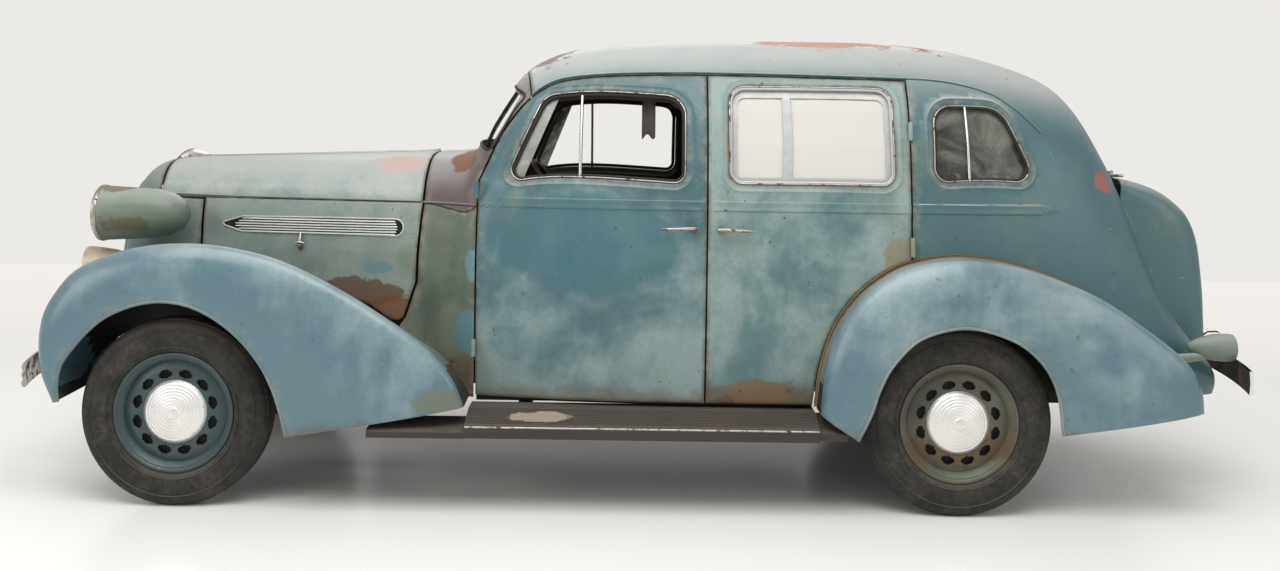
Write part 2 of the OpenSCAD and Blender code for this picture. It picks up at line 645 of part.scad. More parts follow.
// rows hold the arch lip, the crown and the inner edge of each section: [lip x, z, crown x, z, inner x, z, y]
front_rows = [
    [-398, 405, -426, 397, -395, 425, 560], [-402, 470, -478, 500, -385, 515, 480],
    [-388, 540, -495, 610, -362, 575, 420], [-345, 605, -483, 715, -330, 592, 372],
    [-290, 668, -440, 800, -290, 598, 345], [-220, 724, -367, 884, -230, 600, 330],
    [-120, 766, -250, 942, -150, 600, 341], [-20, 780, -100, 980, -60, 600, 367],
    [80, 765, 60, 990, 60, 600, 391], [180, 717, 220, 975, 220, 600, 412],
    [270, 645, 400, 930, 400, 600, 436], [345, 555, 600, 838, 600, 600, 462],
    [395, 460, 780, 730, 780, 590, 484], [425, 370, 940, 615, 935, 560, 545],
    [438, 320, 1045, 500, 1040, 470, 592], [445, 285, 1094, 392, 1090, 398, 612]
];
rear_lip = shifted([[2566, 300], [2614, 400], [2640, 480], [2684, 570], [2764, 660], [2852, 705], [2962,
    724],
    [3062, 708], [3160, 670], [3236, 610], [3285, 540], [3310, 470], [3320, 410], [3324, 370], [3328, 345],
    [3332, 330]], tail_shift);
function rear_row(i) =
    let (c = rear_crown[i], z = max(c[1], curve(foot_line, c[0]) + 6))
    [rear_lip[i][0], rear_lip[i][1], c[0], c[1], c[0], z, skin_y(c[0], z) + 2.5];
function fender_ring(row, d) =
    let (
        lip_p = [row[0], row[1]],
        v = [row[2], row[3]] - lip_p,
        top_p = lip_p + v * (1 - d / norm(v)),
        in_p = [row[4], row[5] - d]
    )
    concat(
        [for (a = [0, 20, 38, 54, 68, 80])
            let (g = lip_p + (top_p - lip_p) * pow(sin(a), 0.85))
            [g[0], -mix(crown_y, lip_y - d, pow(cos(a), 0.75)) - (a > 0 && a < 60 ? 7 : 0), g[1]]],
        [for (u = [0, 0.12, 0.3, 0.5, 0.75, 1])
            let (g = top_p + (in_p - top_p) * pow(u, 1.3)) [g[0], -mix(crown_y, row[6], u), g[1]]]
    );
module fender(rows) skin([for (r = rows) fender_ring(r, 0)], [for (r = rows) fender_ring(r, fender_t)]);
// foot of a front fender on the frame rail at x
module fender_iron(x) across_x(x - 25, x + 25) polygon([[-rail_out + 30, 500.3], [-rail_out + 30, 512],
    [-skin_y(x, 640) - 12, 548], [-skin_y(x, 640) - 12, 640], [-skin_y(x, 640) - 36, 640],
    [-skin_y(x, 640) - 36, 540], [-rail_out, 500.3]]);
module front_fenders() color(paint) at_car() both_sides() {
    fender(front_rows);
    fender_iron(100);
    fender_iron(540);
}
module rear_fenders() color(paint) at_car() both_sides() fender([for (i = [0:len(rear_crown) - 1]) rear_row(i)]);
module running_boards() color("saddlebrown") at_car() both_sides() {
    across_x(1104, 2424) polygon([[-640, 376], [-735, 376], [-858, 338], [-868, 326], [-868, 290], [-860,
        290],
        [-860, 320], [-732, 356], [-640, 356]]);
    across_x(741, 1104) polygon([[-690, 330], [-858, 318], [-868, 310], [-868, 288], [-690, 288]]);
    across_x(2424, 2530) polygon([[-690, 296], [-862, 296], [-862, 322], [-690, 362]]);
}
module across_x(x0, x1) translate([x0, 0, 0]) rotate([90, 0,
    90]) linear_extrude(height = x1 - x0) children();

// ---- bumpers and tail lamps ----

bumper_sag = 122;
bumper_half = 800;
bumper_r = (bumper_half * bumper_half + bumper_sag * bumper_sag) / (2 * bumper_sag);
bumper_z = 486;
rear_bumper_z = 520;
// a bumper blade bent to a large arc, its face towards -X at x, z is its middle height
module blade(x, z, h) {
    angle = asin(bumper_half / bumper_r);
    translate([x + bumper_r, 0, z]) rotate([0, 0, 180 - angle]) rotate_extrude(angle = 2 * angle, $fn = 360)
        polygon([[bumper_r - 16, -h / 2], [bumper_r - 4, -h / 2], [bumper_r, -h / 6], [bumper_r, h / 6],
            [bumper_r - 4, h / 2], [bumper_r - 16, h / 2]]);
}
module front_bumper() color("darkslategray") at_car() {
    blade(-front_overhang, bumper_z, 92);
    both_sides() block([-front_overhang + 18, -372, bumper_z - 24], [-470, -362, bumper_z + 24]);
}
module rear_bumper() color("sienna") at_car() {
    translate([wheelbase, 0, 0]) mirror([1, 0, 0]) blade(-rear_overhang, rear_bumper_z, 92);
    both_sides() block([wheelbase + 1028.4, -372, rear_bumper_z - 24], [wheelbase + rear_overhang - 18,
        -362,
        rear_bumper_z + 24]);
}
tail_lamp_x = 3900 + tail_shift;
module tail_lamps() color(paint) at_car() both_sides() {
    translate([tail_lamp_x + 190, -590, 618]) rotate([0, -90, 0]) rotate_extrude() polygon([[0, 0], [44,
        0], [52, 6],
        [54, 40], [48, 92], [34, 140], [14, 176], [0, 186]]);
    difference() {
        rod([tail_lamp_x + 100, -590, 590], [tail_lamp_x - 110, -640, 566], 20);
        fender_cutter();
        shell(3500 + tail_shift, 4087 + tail_shift, -seam, 60, -seam, 60);
        translate([tail_lamp_x + 190, -590, 618]) rotate([0, -90, 0]) cylinder(h = 100, r = 40);
    }
}
module fender_cutter() skin([for (i = [9:len(rear_crown) - 1]) fender_ring(rear_row(i), -seam)],
    [for (i = [9:len(rear_crown) - 1]) fender_ring(rear_row(i), 90)]);

// ---- cabin ----

module dashboard() color("tan") at_car() {
    difference() {
        across_y(566) polygon([[1092, 1110], [1112, 1106], [1130, 1150], [1128, 1235], [1096, 1270],
            [1080, 1270]]);
        shell(1000, 1222, -80, 34.4, -80, 30.4);
    }
}
module across_y(half) across(-half, half) children();
module front_seat() color("tan") at_car() {
    across_y(530) polygon([[1520, 640], [1560, 612], [1960, 596], [1990, 640], [2080, 1150], [2068, 1196],
        [2020, 1204], [1976, 1180], [1900, 790], [1560, 812], [1524, 780]]);
    both_sides() across(-440, -400) polygon([[1580, floor_z + 12], [1940, floor_z + 12], [1940, 596.5],
        [1580, 611]]);
}
module rear_seat() color("tan") at_car() across_y(530) polygon([[2520, 640], [2556, 620.5], [3120,
    620.5], [3230, 1130],
    [3216, 1176], [3160, 1190], [3110, 1160], [3010, 800], [2560, 826], [2524, 800]]);

// ---- steering gear ----

wheel_y = -348;
column_top = [1402, wheel_y, 1128];
column_foot = [650, wheel_y, 560];
column_axis = (column_top - column_foot) / norm(column_top - column_foot);
steering_r = 212;
module on_column(from_top) translate(column_top - from_top * column_axis)
    rotate([0, acos(column_axis[2]), 0]) children();
module steering_column() color(dark) at_car() {
    rod(column_foot, column_top, 22);
    block([column_foot[0] - 50, wheel_y - 40, 500.3], column_foot + [50, 40, 40]);
}
module steering_wheel() color("dimgray") at_car() on_column(0) {
    translate([0, 0, 0.5]) cylinder(h = 44, r = 34);
    translate([0, 0, 26]) rotate_extrude() translate([steering_r - 11, 0]) circle(11, $fn = 24);
    for (i = [0:2]) rotate(90 + i * 120) translate([24, -9, 18]) cube([steering_r - 34, 18, 8]);
}

// ---- chassis ----

rail_out = 392;
module chassis_frame() color(dark) at_car() {
    both_sides() {
        across(-rail_out, -rail_out + 52) polygon([[-470, 420], [-470, 500], [600, 500], [2514, 500],
            [2570, 552], [2700 + tail_shift, 600], [3240 + tail_shift, 600], [3420 + tail_shift, 560],
            [3990 + tail_shift, 540], [3990 + tail_shift, 470], [3400 + tail_shift, 480],
            [3200 + tail_shift, 505], [2740 + tail_shift, 505], [2480, 434], [2380, 434], [2300, 396],
            [620, 396], [520, 440], [-100, 440]]);
        for (x = [1300, 2200]) {
            block([x - 25, -716, 334], [x + 25, -rail_out - 13, 355.7]);
            block([x - 25, -rail_out - 14, 334], [x + 25, -rail_out + 1, 420]);
        }
        block([835, -689.7, 296], [875, -rail_out - 13, 322]);
        block([835, -rail_out - 14, 296], [875, -rail_out + 1, 420]);
    }
    for (m = [[-430, 430, 490], [-155, 448, 519.7], [250, 444, 452], [1100, 384, 399.7], [2320, 430, 490],
        [3400 + tail_shift, 500, 550]])
        block([m[0] - 30, -rail_out + 40, m[1]], [m[0] + 30, rail_out - 40, m[2]]);
}
spring_y = 366;
beam_z = 300;
module spring(x, z, half, arch) across(-spring_y - 22, -spring_y + 22) polygon(concat(
    [for (u = [-1:0.25:1]) [x + u * half, z + arch * u * u]],
    [for (u = [1:-0.25:-1]) [x + u * half, z + arch * u * u + 12 + 24 * (1 - abs(u))]]
));
module front_axle() color(dark) at_car() {
    across_x(-19, 19) polygon([[-kingpin_y, 316], [-kingpin_y, 368], [-kingpin_y + 26, 368], [-500, 348],
        [500, 348], [kingpin_y - 26, 368], [kingpin_y, 368], [kingpin_y, 316], [kingpin_y - 26, 316],
        [500, beam_z - 4], [-500, beam_z - 4]]);
    both_sides() {
        translate([0, -kingpin_y, 316]) cylinder(h = 52, r = 22);
        translate([0, -kingpin_y, 286]) cylinder(h = 112, r = 11);
        spring(0, 348, 470, 58);
        block([-467, -spring_y - 20, 410], [-443, -spring_y + 20, 420]);
        block([443, -spring_y - 20, 410], [467, -spring_y + 20, 439.6]);
    }
}
arm = [170, 34, 268];
module knuckle(side) mirror([0, side > 0 ? 1 : 0, 0]) {
    difference() {
        union() {
            translate([0, -kingpin_y, 278]) cylinder(h = 34, r = 24);
            translate([0, -kingpin_y, 372]) cylinder(h = 34, r = 24);
            block([-20, -kingpin_y - 44, 278], [20, -kingpin_y - 27, 406]);
            block([-20, -kingpin_y - 44, 278], [20, -kingpin_y - 10, 312]);
            block([-20, -kingpin_y - 44, 372], [20, -kingpin_y - 10, 406]);
        }
        translate([0, -kingpin_y, 200]) cylinder(h = 300, r = 11.05);
    }
    translate([0, -kingpin_y - 40, wheel_z]) rotate([90, 0, 0]) cylinder(h = 88, r = spindle_r);
    translate([0, -kingpin_y - 43, wheel_z]) rotate([90, 0, 0]) cylinder(h = 3, r = spindle_r + 14);
    rod([18, -kingpin_y, 294], [arm[0], -kingpin_y + arm[1], 294], 10);
    translate([arm[0], -kingpin_y + arm[1], arm[2]]) cylinder(h = 38, r = 8);
}
module knuckle_left() color(dark) at_car() knuckle(-1);
module knuckle_right() color(dark) at_car() knuckle(1);
rod_y = kingpin_y - arm[1];
// the right eye is a slot, because the rod's ends drift apart by up to eye_slot as the wheels steer
eye_slot = 10;
module tie_rod() color(dark) at_car() difference() {
    union() {
        rod([arm[0], -rod_y + 12, 272], [arm[0], rod_y - 12, 272], 9);
        for (y = [-rod_y, rod_y, rod_y + eye_slot]) translate([arm[0], y, 262]) cylinder(h = 20, r = 18);
    }
    translate([arm[0], -rod_y, 250]) cylinder(h = 40, r = 8.3);
    for (y = [rod_y, rod_y + eye_slot]) translate([arm[0], y, 250]) cylinder(h = 40, r = 9.2);
    block([arm[0] - 9.2, rod_y, 250], [arm[0] + 9.2, rod_y + eye_slot, 290]);
}
module rear_axle() color(dark) at_car() translate([wheelbase, 0, 0]) {
    difference() {
        union() {
            translate([0, -600, wheel_z]) rotate([-90, 0, 0]) cylinder(h = 1200, r = 38);
            translate([0, 0, wheel_z]) sphere(128);
            translate([0, -640, wheel_z]) rotate([-90, 0, 0]) cylinder(h = 42, r = 60);
            translate([0, 598, wheel_z]) rotate([-90, 0, 0]) cylinder(h = 42, r = 60);
        }
    }
    both_sides() {
        translate([0, -660, wheel_z]) rotate([90, 0, 0]) cylinder(h = 68, r = spindle_r);
        translate([0, -638, wheel_z]) rotate([90, 0, 0]) cylinder(h = 24, r = spindle_r + 14);
        translate([-30, -spring_y - 22, wheel_z - 60]) cube([60, 44, 60]);
        spring(0, wheel_z - 70, 560, 128);
        for (u = [-1, 1]) block([u * 545 - 12, -spring_y - 20, 418], [u * 545 + 12, -spring_y + 20,
            u < 0 ? 433.6 : 477.6]);
    }
}
module driveshaft() color(dark) at_car() {
    rod([1240, 0, 455], [wheelbase - 128, 0, wheel_z + 8], 36);
    block([800, -110, 400], [1150, 110, 495]);
    rod([1140, 0, 455], [1250, 0, 455], 46);
}
// a bent pipe of straight lengths with round elbows
module pipe(route, r) {
    for (i = [1:len(route) - 1]) rod(route[i - 1], route[i], r);
    for (i = [1:len(route) - 2]) translate(route[i]) sphere(r + 1);
}
module exhaust() color("sienna") at_car() {
    pipe([[480, 200, 410], [800, 200, 340], [1560, 200, 340]], 24);
    rod([1500, 200, 340], [2050, 200, 340], 70);
    pipe([[2000, 200, 340], [2560, 200, 300], [2610, 260, 212], [3300 + tail_shift, 260, 212],
        [4030 + tail_shift, 260, 360]], 22);
    for (x = [1600, 1950]) block([x - 8, 200, 330], [x + 8, 339.7, 350]);
    for (x = [1600, 1950]) block([x - 8, 322, 330], [x + 8, 339.7, 470]);
    block([3380 + tail_shift, 262, 220], [3396 + tail_shift, 339.7, 236]);
    block([3380 + tail_shift, 322, 220], [3396 + tail_shift, 339.7, 520]);
}
module fuel_tank() color("dimgray") at_car() {
    block([3460 + tail_shift, -320, 330], [3900 + tail_shift, 215, 535]);
    for (x = [3540, 3820]) block([x + tail_shift - 20, -339.7, 480], [x + tail_shift + 20, -315, 535]);
}

// ---- wheels and tyres ----

// a wheel about the Y axis, its outside towards -Y, with the axle at the origin
module wheel_shape() {
    difference() {
        rotate([90, 0, 0]) rotate_extrude() {
            polygon([[rim_r - 40, -62], [rim_r - 2, -64], [rim_r, -60], [rim_r, -56], [rim_r - 16, -54],
                [rim_r - 18, -30], [rim_r - 30, -20], [rim_r - 30, 20], [rim_r - 18, 30], [rim_r - 16, 54],
                [rim_r, 56], [rim_r, 60], [rim_r - 2, 64], [rim_r - 24, 60], [rim_r - 34, 30],
                    [rim_r - 44, 24],
                [rim_r - 60, 44], [cap_r - 4, 44], [60, 30], [30, 30], [30, 44], [spindle_r + 0.05, 44],
                [spindle_r + 0.05, -24], [48, -24], [48, 20], [cap_r - 8, 34], [rim_r - 66, 34],
                    [rim_r - 50, 14],
                [rim_r - 40, 12]]);
        }
        for (i = [0:11]) rotate([0, i * 30, 0]) translate([cap_r + 24, 0, 0]) rotate([90, 0, 0])
            cylinder(h = 90, r = 12);
    }
}
module cap_shape() rotate([90, 0, 0]) rotate_extrude() polygon([[0, 76], [40, 74], [80, 66], [cap_r - 8,
    52],
    [cap_r, 46], [cap_r, 44.3], [0, 44.3]]);
module tyre_shape() difference() {
    rotate([90, 0, 0]) rotate_extrude() {
        h = tyre_w / 2;
        polygon([[rim_r - 15.5, -53.5], [rim_r + 0.5, -55.5], [rim_r + 0.5, -62], [rim_r + 30, -h + 2],
            [rim_r + 62, -h], [tyre_r - 22, -h + 8], [tyre_r - 6, -56], [tyre_r, -30], [tyre_r, 30],
            [tyre_r - 6, 56], [tyre_r - 22, h - 8], [rim_r + 62, h], [rim_r + 30, h - 2], [rim_r + 0.5, 62],
            [rim_r + 0.5, 55.5], [rim_r - 15.5, 53.5], [rim_r - 17.5, 29.5], [rim_r - 29.5, 19.5],
            [rim_r - 29.5, -19.5], [rim_r - 17.5, -29.5]]);
    }
    translate([-500, -500, -wheel_z - 100]) cube([1000, 1000, 100]);
}
module at_wheel(x, side) at_car() mirror([0, side > 0 ? 1 : 0, 0]) translate([x, -track / 2,
    wheel_z]) children();
module wheel(x, side) color(paint) at_wheel(x, side) {
    wheel_shape();
    cap_shape();
}
module tyre(x, side) color("dimgray") at_wheel(x, side) tyre_shape();
module wheel_front_left() wheel(0, -1);
module wheel_front_right() wheel(0, 1);
module wheel_rear_left() wheel(wheelbase, -1);
module wheel_rear_right() wheel(wheelbase, 1);
module tyre_front_left() tyre(0, -1);
module tyre_front_right() tyre(0, 1);
module tyre_rear_left() tyre(wheelbase, -1);
module tyre_rear_right() tyre(wheelbase, 1);

chassis_frame();
body_floor();
cowl();
roof();
quarter_panels();
tail_panel();
trunk_housing();
wheel_houses();
grille_shell();
grille();
hood_strip();
radiator();
engine();
front_fenders();
rear_fenders();
running_boards();
lamps();
lamp_lenses();
front_bumper();
rear_bumper();
tail_lamps();
windshield_glass();
body_glass();
dashboard();
front_seat();
rear_seat();
steering_column();
front_axle();
rear_axle();
driveshaft();
exhaust();
fuel_tank();
front_door_left();
front_door_right();
rear_door_left();
rear_door_right();
front_door_left_glass();
front_door_right_glass();
rear_door_left_card();
rear_door_right_glass();
hood_left();
hood_right();
trunk_lid();
steering_wheel();
knuckle_left();
knuckle_right();
tie_rod();
wheel_front_left();
wheel_front_right();
wheel_rear_left();
wheel_rear_right();
tyre_front_left();
tyre_front_right();
tyre_rear_left();
tyre_rear_right();
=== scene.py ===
"""Looks of a weathered four-door touring sedan, modelled around its construction frame."""
import math

import bmesh
import bpy
import numpy as np
from mathutils import Matrix, Vector
from mathutils.geometry import delaunay_2d_cdt


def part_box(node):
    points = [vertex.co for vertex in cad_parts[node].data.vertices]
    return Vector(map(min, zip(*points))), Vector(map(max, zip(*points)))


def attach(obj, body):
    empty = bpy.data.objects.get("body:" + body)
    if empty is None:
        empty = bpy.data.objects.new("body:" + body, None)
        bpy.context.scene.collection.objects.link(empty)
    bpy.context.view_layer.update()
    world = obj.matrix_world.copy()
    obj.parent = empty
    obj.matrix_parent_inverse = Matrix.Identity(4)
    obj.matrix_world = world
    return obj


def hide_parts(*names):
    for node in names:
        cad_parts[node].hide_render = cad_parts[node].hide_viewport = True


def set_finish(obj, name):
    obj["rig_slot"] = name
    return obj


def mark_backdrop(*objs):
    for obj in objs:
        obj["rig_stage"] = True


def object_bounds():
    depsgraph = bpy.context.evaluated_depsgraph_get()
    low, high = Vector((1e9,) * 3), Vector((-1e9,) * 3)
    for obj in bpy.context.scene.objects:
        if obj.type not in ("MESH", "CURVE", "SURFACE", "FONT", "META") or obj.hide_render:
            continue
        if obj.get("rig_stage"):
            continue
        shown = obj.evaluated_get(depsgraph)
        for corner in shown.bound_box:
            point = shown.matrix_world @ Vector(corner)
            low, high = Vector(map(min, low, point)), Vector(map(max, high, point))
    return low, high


bl_info = {
    "name": "Weathered touring sedan",
    "version": (1, 0, 0),
    "blender": (4, 5, 0),
    "location": "View3D > Sidebar > Sedan",
    "description": "Models the sedan's panels, trim, wheels and interior around its construction frame",
    "category": "Object",
}

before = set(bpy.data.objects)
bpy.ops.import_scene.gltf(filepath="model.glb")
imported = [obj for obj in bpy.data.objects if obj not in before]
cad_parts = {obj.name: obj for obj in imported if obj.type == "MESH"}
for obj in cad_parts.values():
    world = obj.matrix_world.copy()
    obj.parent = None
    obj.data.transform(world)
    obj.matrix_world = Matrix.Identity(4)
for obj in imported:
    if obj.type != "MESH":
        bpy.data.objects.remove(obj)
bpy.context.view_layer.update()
MM = 0.001


def middle(node):
    low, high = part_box(node)
    return (low + high) / 2


AXLE_X = middle("tyre_front_left").x
REAR_AXLE = round((middle("tyre_rear_left").x - AXLE_X) / MM)
TRACK = round((middle("tyre_front_right").y - middle("tyre_front_left").y) / MM)
WHEEL_Z = 350

# ---- the body's surface: profiles along the car, in millimetres behind the front axle ----

TOP = [(-484, 897), (-468, 1000), (-426, 1140), (-379, 1222), (-327, 1265), (-261, 1287), (0, 1300),
       (400, 1315), (870, 1334), (1000, 1343), (1062, 1360), (1108, 1450), (1184, 1574), (1260, 1682),
       (1374, 1750), (1490, 1785), (1645, 1807), (2000, 1824), (2400, 1828), (2700, 1826), (2900, 1812),
       (3060, 1790), (3200, 1757), (3340, 1714), (3450, 1662), (3545, 1570), (3631, 1431), (3696, 1305),
       (3762, 1133), (3828, 960), (3910, 803), (3991, 693), (4087, 576)]
PLAN = [(-484, 0.09), (-468, 0.19), (-426, 0.28), (-379, 0.34), (-327, 0.387), (-261, 0.43), (-58, 0.49),
        (300, 0.565), (600, 0.62), (870, 0.672), (960, 0.745), (1107, 0.872), (1400, 0.955), (1700, 0.992),
        (2100, 1), (2700, 0.998), (3000, 0.985), (3300, 0.935), (3600, 0.845), (3850, 0.745), (4087, 0.63)]
WAIST = [(-484, 720), (-426, 850), (-261, 910), (0, 930), (870, 930), (1500, 900), (2800, 900),
         (3200, 850), (3500, 740), (3800, 600), (4087, 460)]
FOOT = [(-484, 560), (620, 560), (760, 384), (870, 384), (2700, 384), (3300, 384), (3900, 396), (4087, 400)]
RAIL = [(1107, 1232), (1134, 1291), (1168, 1372), (1202, 1432), (1250, 1504), (1303, 1563), (1373, 1612),
        (1444, 1636), (1583, 1652), (1722, 1659), (2004, 1664), (2791, 1652), (2960, 1640), (3132, 1598),
        (3219, 1545), (3292, 1481), (3328, 1446)]
REAR_CROWN = [(2434, 384), (2452, 540), (2500, 690), (2585, 815), (2690, 900), (2790, 945), (2932, 970),
              (3069, 965), (3207, 938), (3345, 893), (3483, 833), (3622, 746), (3775, 632), (3840, 560),
              (3872, 480), (3880, 410)]
HALF_WIDTH = 728
CROWN = 40
LEAN = 0.06
TUCK = 26
LOW_SHARE = 0.28
GIRTH = 1856
SILL = 392
PILLAR_X = 2005
DOOR_FRONT = 1107
DOOR_REAR = 2791
GAP = 3.5


def curve(table, x):
    """Smooth value of a table of (place, value) at x."""
    places, values = np.array(table, float).T
    slopes = np.empty(len(places))
    slopes[1:-1] = (values[2:] - values[:-2]) / (places[2:] - places[:-2])
    slopes[0] = (values[1] - values[0]) / (places[1] - places[0])
    slopes[-1] = (values[-1] - values[-2]) / (places[-1] - places[-2])
    x = np.clip(np.asarray(x, float), places[0], places[-1])
    i = np.clip(np.searchsorted(places, x, side="right") - 1, 0, len(places) - 2)
    h = places[i + 1] - places[i]
    u = (x - places[i]) / h
    return ((2 * u**3 - 3 * u**2 + 1) * values[i] + (u**3 - 2 * u**2 + u) * h * slopes[i]
            + (3 * u**2 - 2 * u**3) * values[i + 1] + (u**3 - u**2) * h * slopes[i + 1])


ARC_ANGLES = np.radians(np.linspace(0, 90, 721))
ARC_POINTS = np.stack([0.85 * np.cos(ARC_ANGLES) ** 0.45, np.sin(ARC_ANGLES) ** 0.72], 1)
ARC_LENGTH = np.concatenate([[0], np.cumsum(np.linalg.norm(np.diff(ARC_POINTS, axis=0), axis=1))])
ARC_LENGTH /= ARC_LENGTH[-1]


def skin(x, s, side_depth=0.0, top_depth=0.0):
    """Half width and height of the body's surface at x, from its foot at s 0 to the centre line at s 1."""
    x = np.asarray(x, float)
    s = np.clip(np.asarray(s, float), 0, 1)
    w = HALF_WIDTH * curve(PLAN, x) - side_depth
    t = curve(TOP, x) - top_depth - CROWN
    b = np.minimum(curve(WAIST, x), t - 60)
    f = curve(FOOT, x)
    low = np.clip(s / LOW_SHARE, 0, 1)
    low_y = w - TUCK * (1 - low) ** 2
    low_z = f + (b - f) * low
    a = np.interp((s - LOW_SHARE) / (1 - LOW_SHARE), ARC_LENGTH, ARC_ANGLES)
    z0 = b + (t - b) * np.sin(a) ** 0.72
    y = (w - LEAN * (z0 - b)) * np.abs(np.cos(a)) ** 0.45
    z = z0 + CROWN * (1 - (y / w) ** 2) * np.sin(a) ** 2
    y = np.where(s >= 1, 0, y)
    return np.where(s < LOW_SHARE, low_y, y), np.where(s < LOW_SHARE, low_z, z)


def share(x, z):
    """The s at which the surface is z high at x."""
    x, z = np.broadcast_arrays(np.asarray(x, float), np.asarray(z, float))
    low, high = np.zeros(x.shape), np.ones(x.shape)
    for _ in range(26):
        half = (low + high) / 2
        under = skin(x, half)[1] < z
        low, high = np.where(under, half, low), np.where(under, high, half)
    return (low + high) / 2


def skin_y(x, z):
    return skin(x, share(x, z))[0]


def meet(start, direction, reach=900):
    """Where a line from outside meets the left half of the surface: its x and s."""
    start, direction = np.array(start, float), np.array(direction, float)

    def first(steps):
        p = start + direction * steps[:, None]
        within = (p[:, 2] < skin(p[:, 0], 1)[1]) & (np.abs(p[:, 1]) < skin_y(p[:, 0], p[:, 2]))
        k = max(int(np.argmax(within)), 1) if within.any() else len(steps) - 1
        return steps[k - 1], steps[k]
    low, high = first(np.linspace(0, reach, 200))
    low, high = first(np.linspace(low, high, 200))
    p = start + direction * high
    return float(p[0]), float(share(p[0], p[2]))


# ---- flat outlines ----

def domain(points):
    """Side-view points (x, z) as (x, place round the section); a height of None is the centre line."""
    return [(x, GIRTH if z is None else float(share(x, z)) * GIRTH) for x, z in points]


def resample(loop, step):
    made = []
    for i, p in enumerate(loop):
        q = loop[(i + 1) % len(loop)]
        n = max(1, math.ceil(math.dist(p, q) / step))
        made += [(p[0] + (q[0] - p[0]) * k / n, p[1] + (q[1] - p[1]) * k / n) for k in range(n)]
    return made


def area(loop):
    a = np.array(loop)
    b = np.roll(a, -1, 0)
    return 0.5 * np.sum(a[:, 0] * b[:, 1] - a[:, 1] * b[:, 0])


def rounded(loop, radius, segments=6):
    """The loop with its corners as arcs; radius is one number or one for each corner."""
    radii = radius if hasattr(radius, "__len__") else [radius] * len(loop)
    made = []
    for i, p in enumerate(loop):
        p = Vector(p)
        before = Vector(loop[i - 1]) - p
        after = Vector(loop[(i + 1) % len(loop)]) - p
        turn = before.angle(after)
        if radii[i] <= 0 or turn > 3.1:
            made.append(tuple(p))
            continue
        reach = min(radii[i] / math.tan(turn / 2), before.length * 0.49, after.length * 0.49)
        r = reach * math.tan(turn / 2)
        centre = p + (before.normalized() + after.normalized()).normalized() * r / math.sin(turn / 2)
        a, b = p + before.normalized() * reach - centre, p + after.normalized() * reach - centre
        sweep = a.angle_signed(b) if a.length * b.length > 0 else 0
        for k in range(segments + 1):
            angle = -sweep * k / segments
            made.append((centre.x + a.x * math.cos(angle) - a.y * math.sin(angle),
                         centre.y + a.x * math.sin(angle) + a.y * math.cos(angle)))
    return made


def hull_of_circles(circles, segments=40):
    """Convex outline round circles (x, z, r), anticlockwise."""
    points = [(x + r * math.cos(a), z + r * math.sin(a)) for x, z, r in circles
              for a in np.linspace(0, 2 * math.pi, segments, endpoint=False)]
    points = sorted(set(points))

    def chain(row):
        kept = []
        for p in row:
            while len(kept) > 1 and ((kept[-1][0] - kept[-2][0]) * (p[1] - kept[-2][1])
                                     - (kept[-1][1] - kept[-2][1]) * (p[0] - kept[-2][0])) <= 0:
                kept.pop()
            kept.append(p)
        return kept[:-1]
    return chain(points) + chain(points[::-1])


def distance(points, loop):
    """Distance of each point from the closed loop."""
    points = np.array(points, float)
    a = np.array(loop, float)
    b = np.roll(a, -1, 0)
    best = np.full(len(points), 1e9)
    for p, q in zip(a, b):
        v = q - p
        t = np.clip(((points - p) @ v) / max(v @ v, 1e-9), 0, 1)
        best = np.minimum(best, np.linalg.norm(points - p - t[:, None] * v, axis=1))
    return best


def inside(points, loop):
    points = np.array(points, float)
    a = np.array(loop, float)
    b = np.roll(a, -1, 0)
    found = np.zeros(len(points), bool)
    for p, q in zip(a, b):
        crosses = (p[1] > points[:, 1]) != (q[1] > points[:, 1])
        if p[1] != q[1]:
            found ^= crosses & (points[:, 0] < (q[0] - p[0]) * (points[:, 1] - p[1]) / (q[1] - p[1]) + p[0])
    return found


def offset(loop, amount, step=12):
    """Points at a distance inside the loop, or outside it where amount is below zero."""
    loop = resample(loop if area(loop) > 0 else loop[::-1], step)
    a = np.array(loop)
    along = np.roll(a, -1, 0) - np.roll(a, 1, 0)
    normal = np.stack([-along[:, 1], along[:, 0]], 1) / np.maximum(np.linalg.norm(along, axis=1), 1e-9)[:,
            None]
    moved = a + normal * amount
    return moved[distance(moved, loop) > abs(amount) * 0.93]


# ---- meshes ----

def place(x, y, z):
    return (AXLE_X + x * MM, y * MM, z * MM)


def placed(points):
    points = np.array(points, float) * MM
    points[:, 0] += AXLE_X
    return points


def piece(name, points, faces, material, body="body", replaces=(), smooth=35, slot=None):
    """A finished mesh from points in millimetres behind the front axle."""
    mesh = bpy.data.meshes.new(name)
    mesh.from_pydata(placed(points).tolist(), [], [tuple(int(i) for i in f) for f in faces])
    mesh.validate()
    made = bpy.data.objects.new(name, mesh)
    bpy.context.scene.collection.objects.link(made)
    return finished(made, material, body, replaces, smooth, slot)


def finished(made, material, body="body", replaces=(), smooth=35, slot=None):
    bpy.ops.object.select_all(action="DESELECT")
    made.select_set(True)
    bpy.context.view_layer.objects.active = made
    bpy.ops.object.shade_smooth_by_angle(angle=math.radians(smooth))
    made.data.materials.clear()
    for m in material if isinstance(material, (list, tuple)) else [material]:
        made.data.materials.append(m)
    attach(made, body)
    if replaces:
        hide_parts(*replaces)
    if slot:
        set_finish(made, slot)
    attribute(made, "rim", [0.2] * len(made.data.vertices))
    return made


def attribute(made, name, values):
    layer = made.data.attributes.get(name) or made.data.attributes.new(name, "FLOAT", "POINT")
    layer.data.foreach_set("value", np.array(values, np.float32))


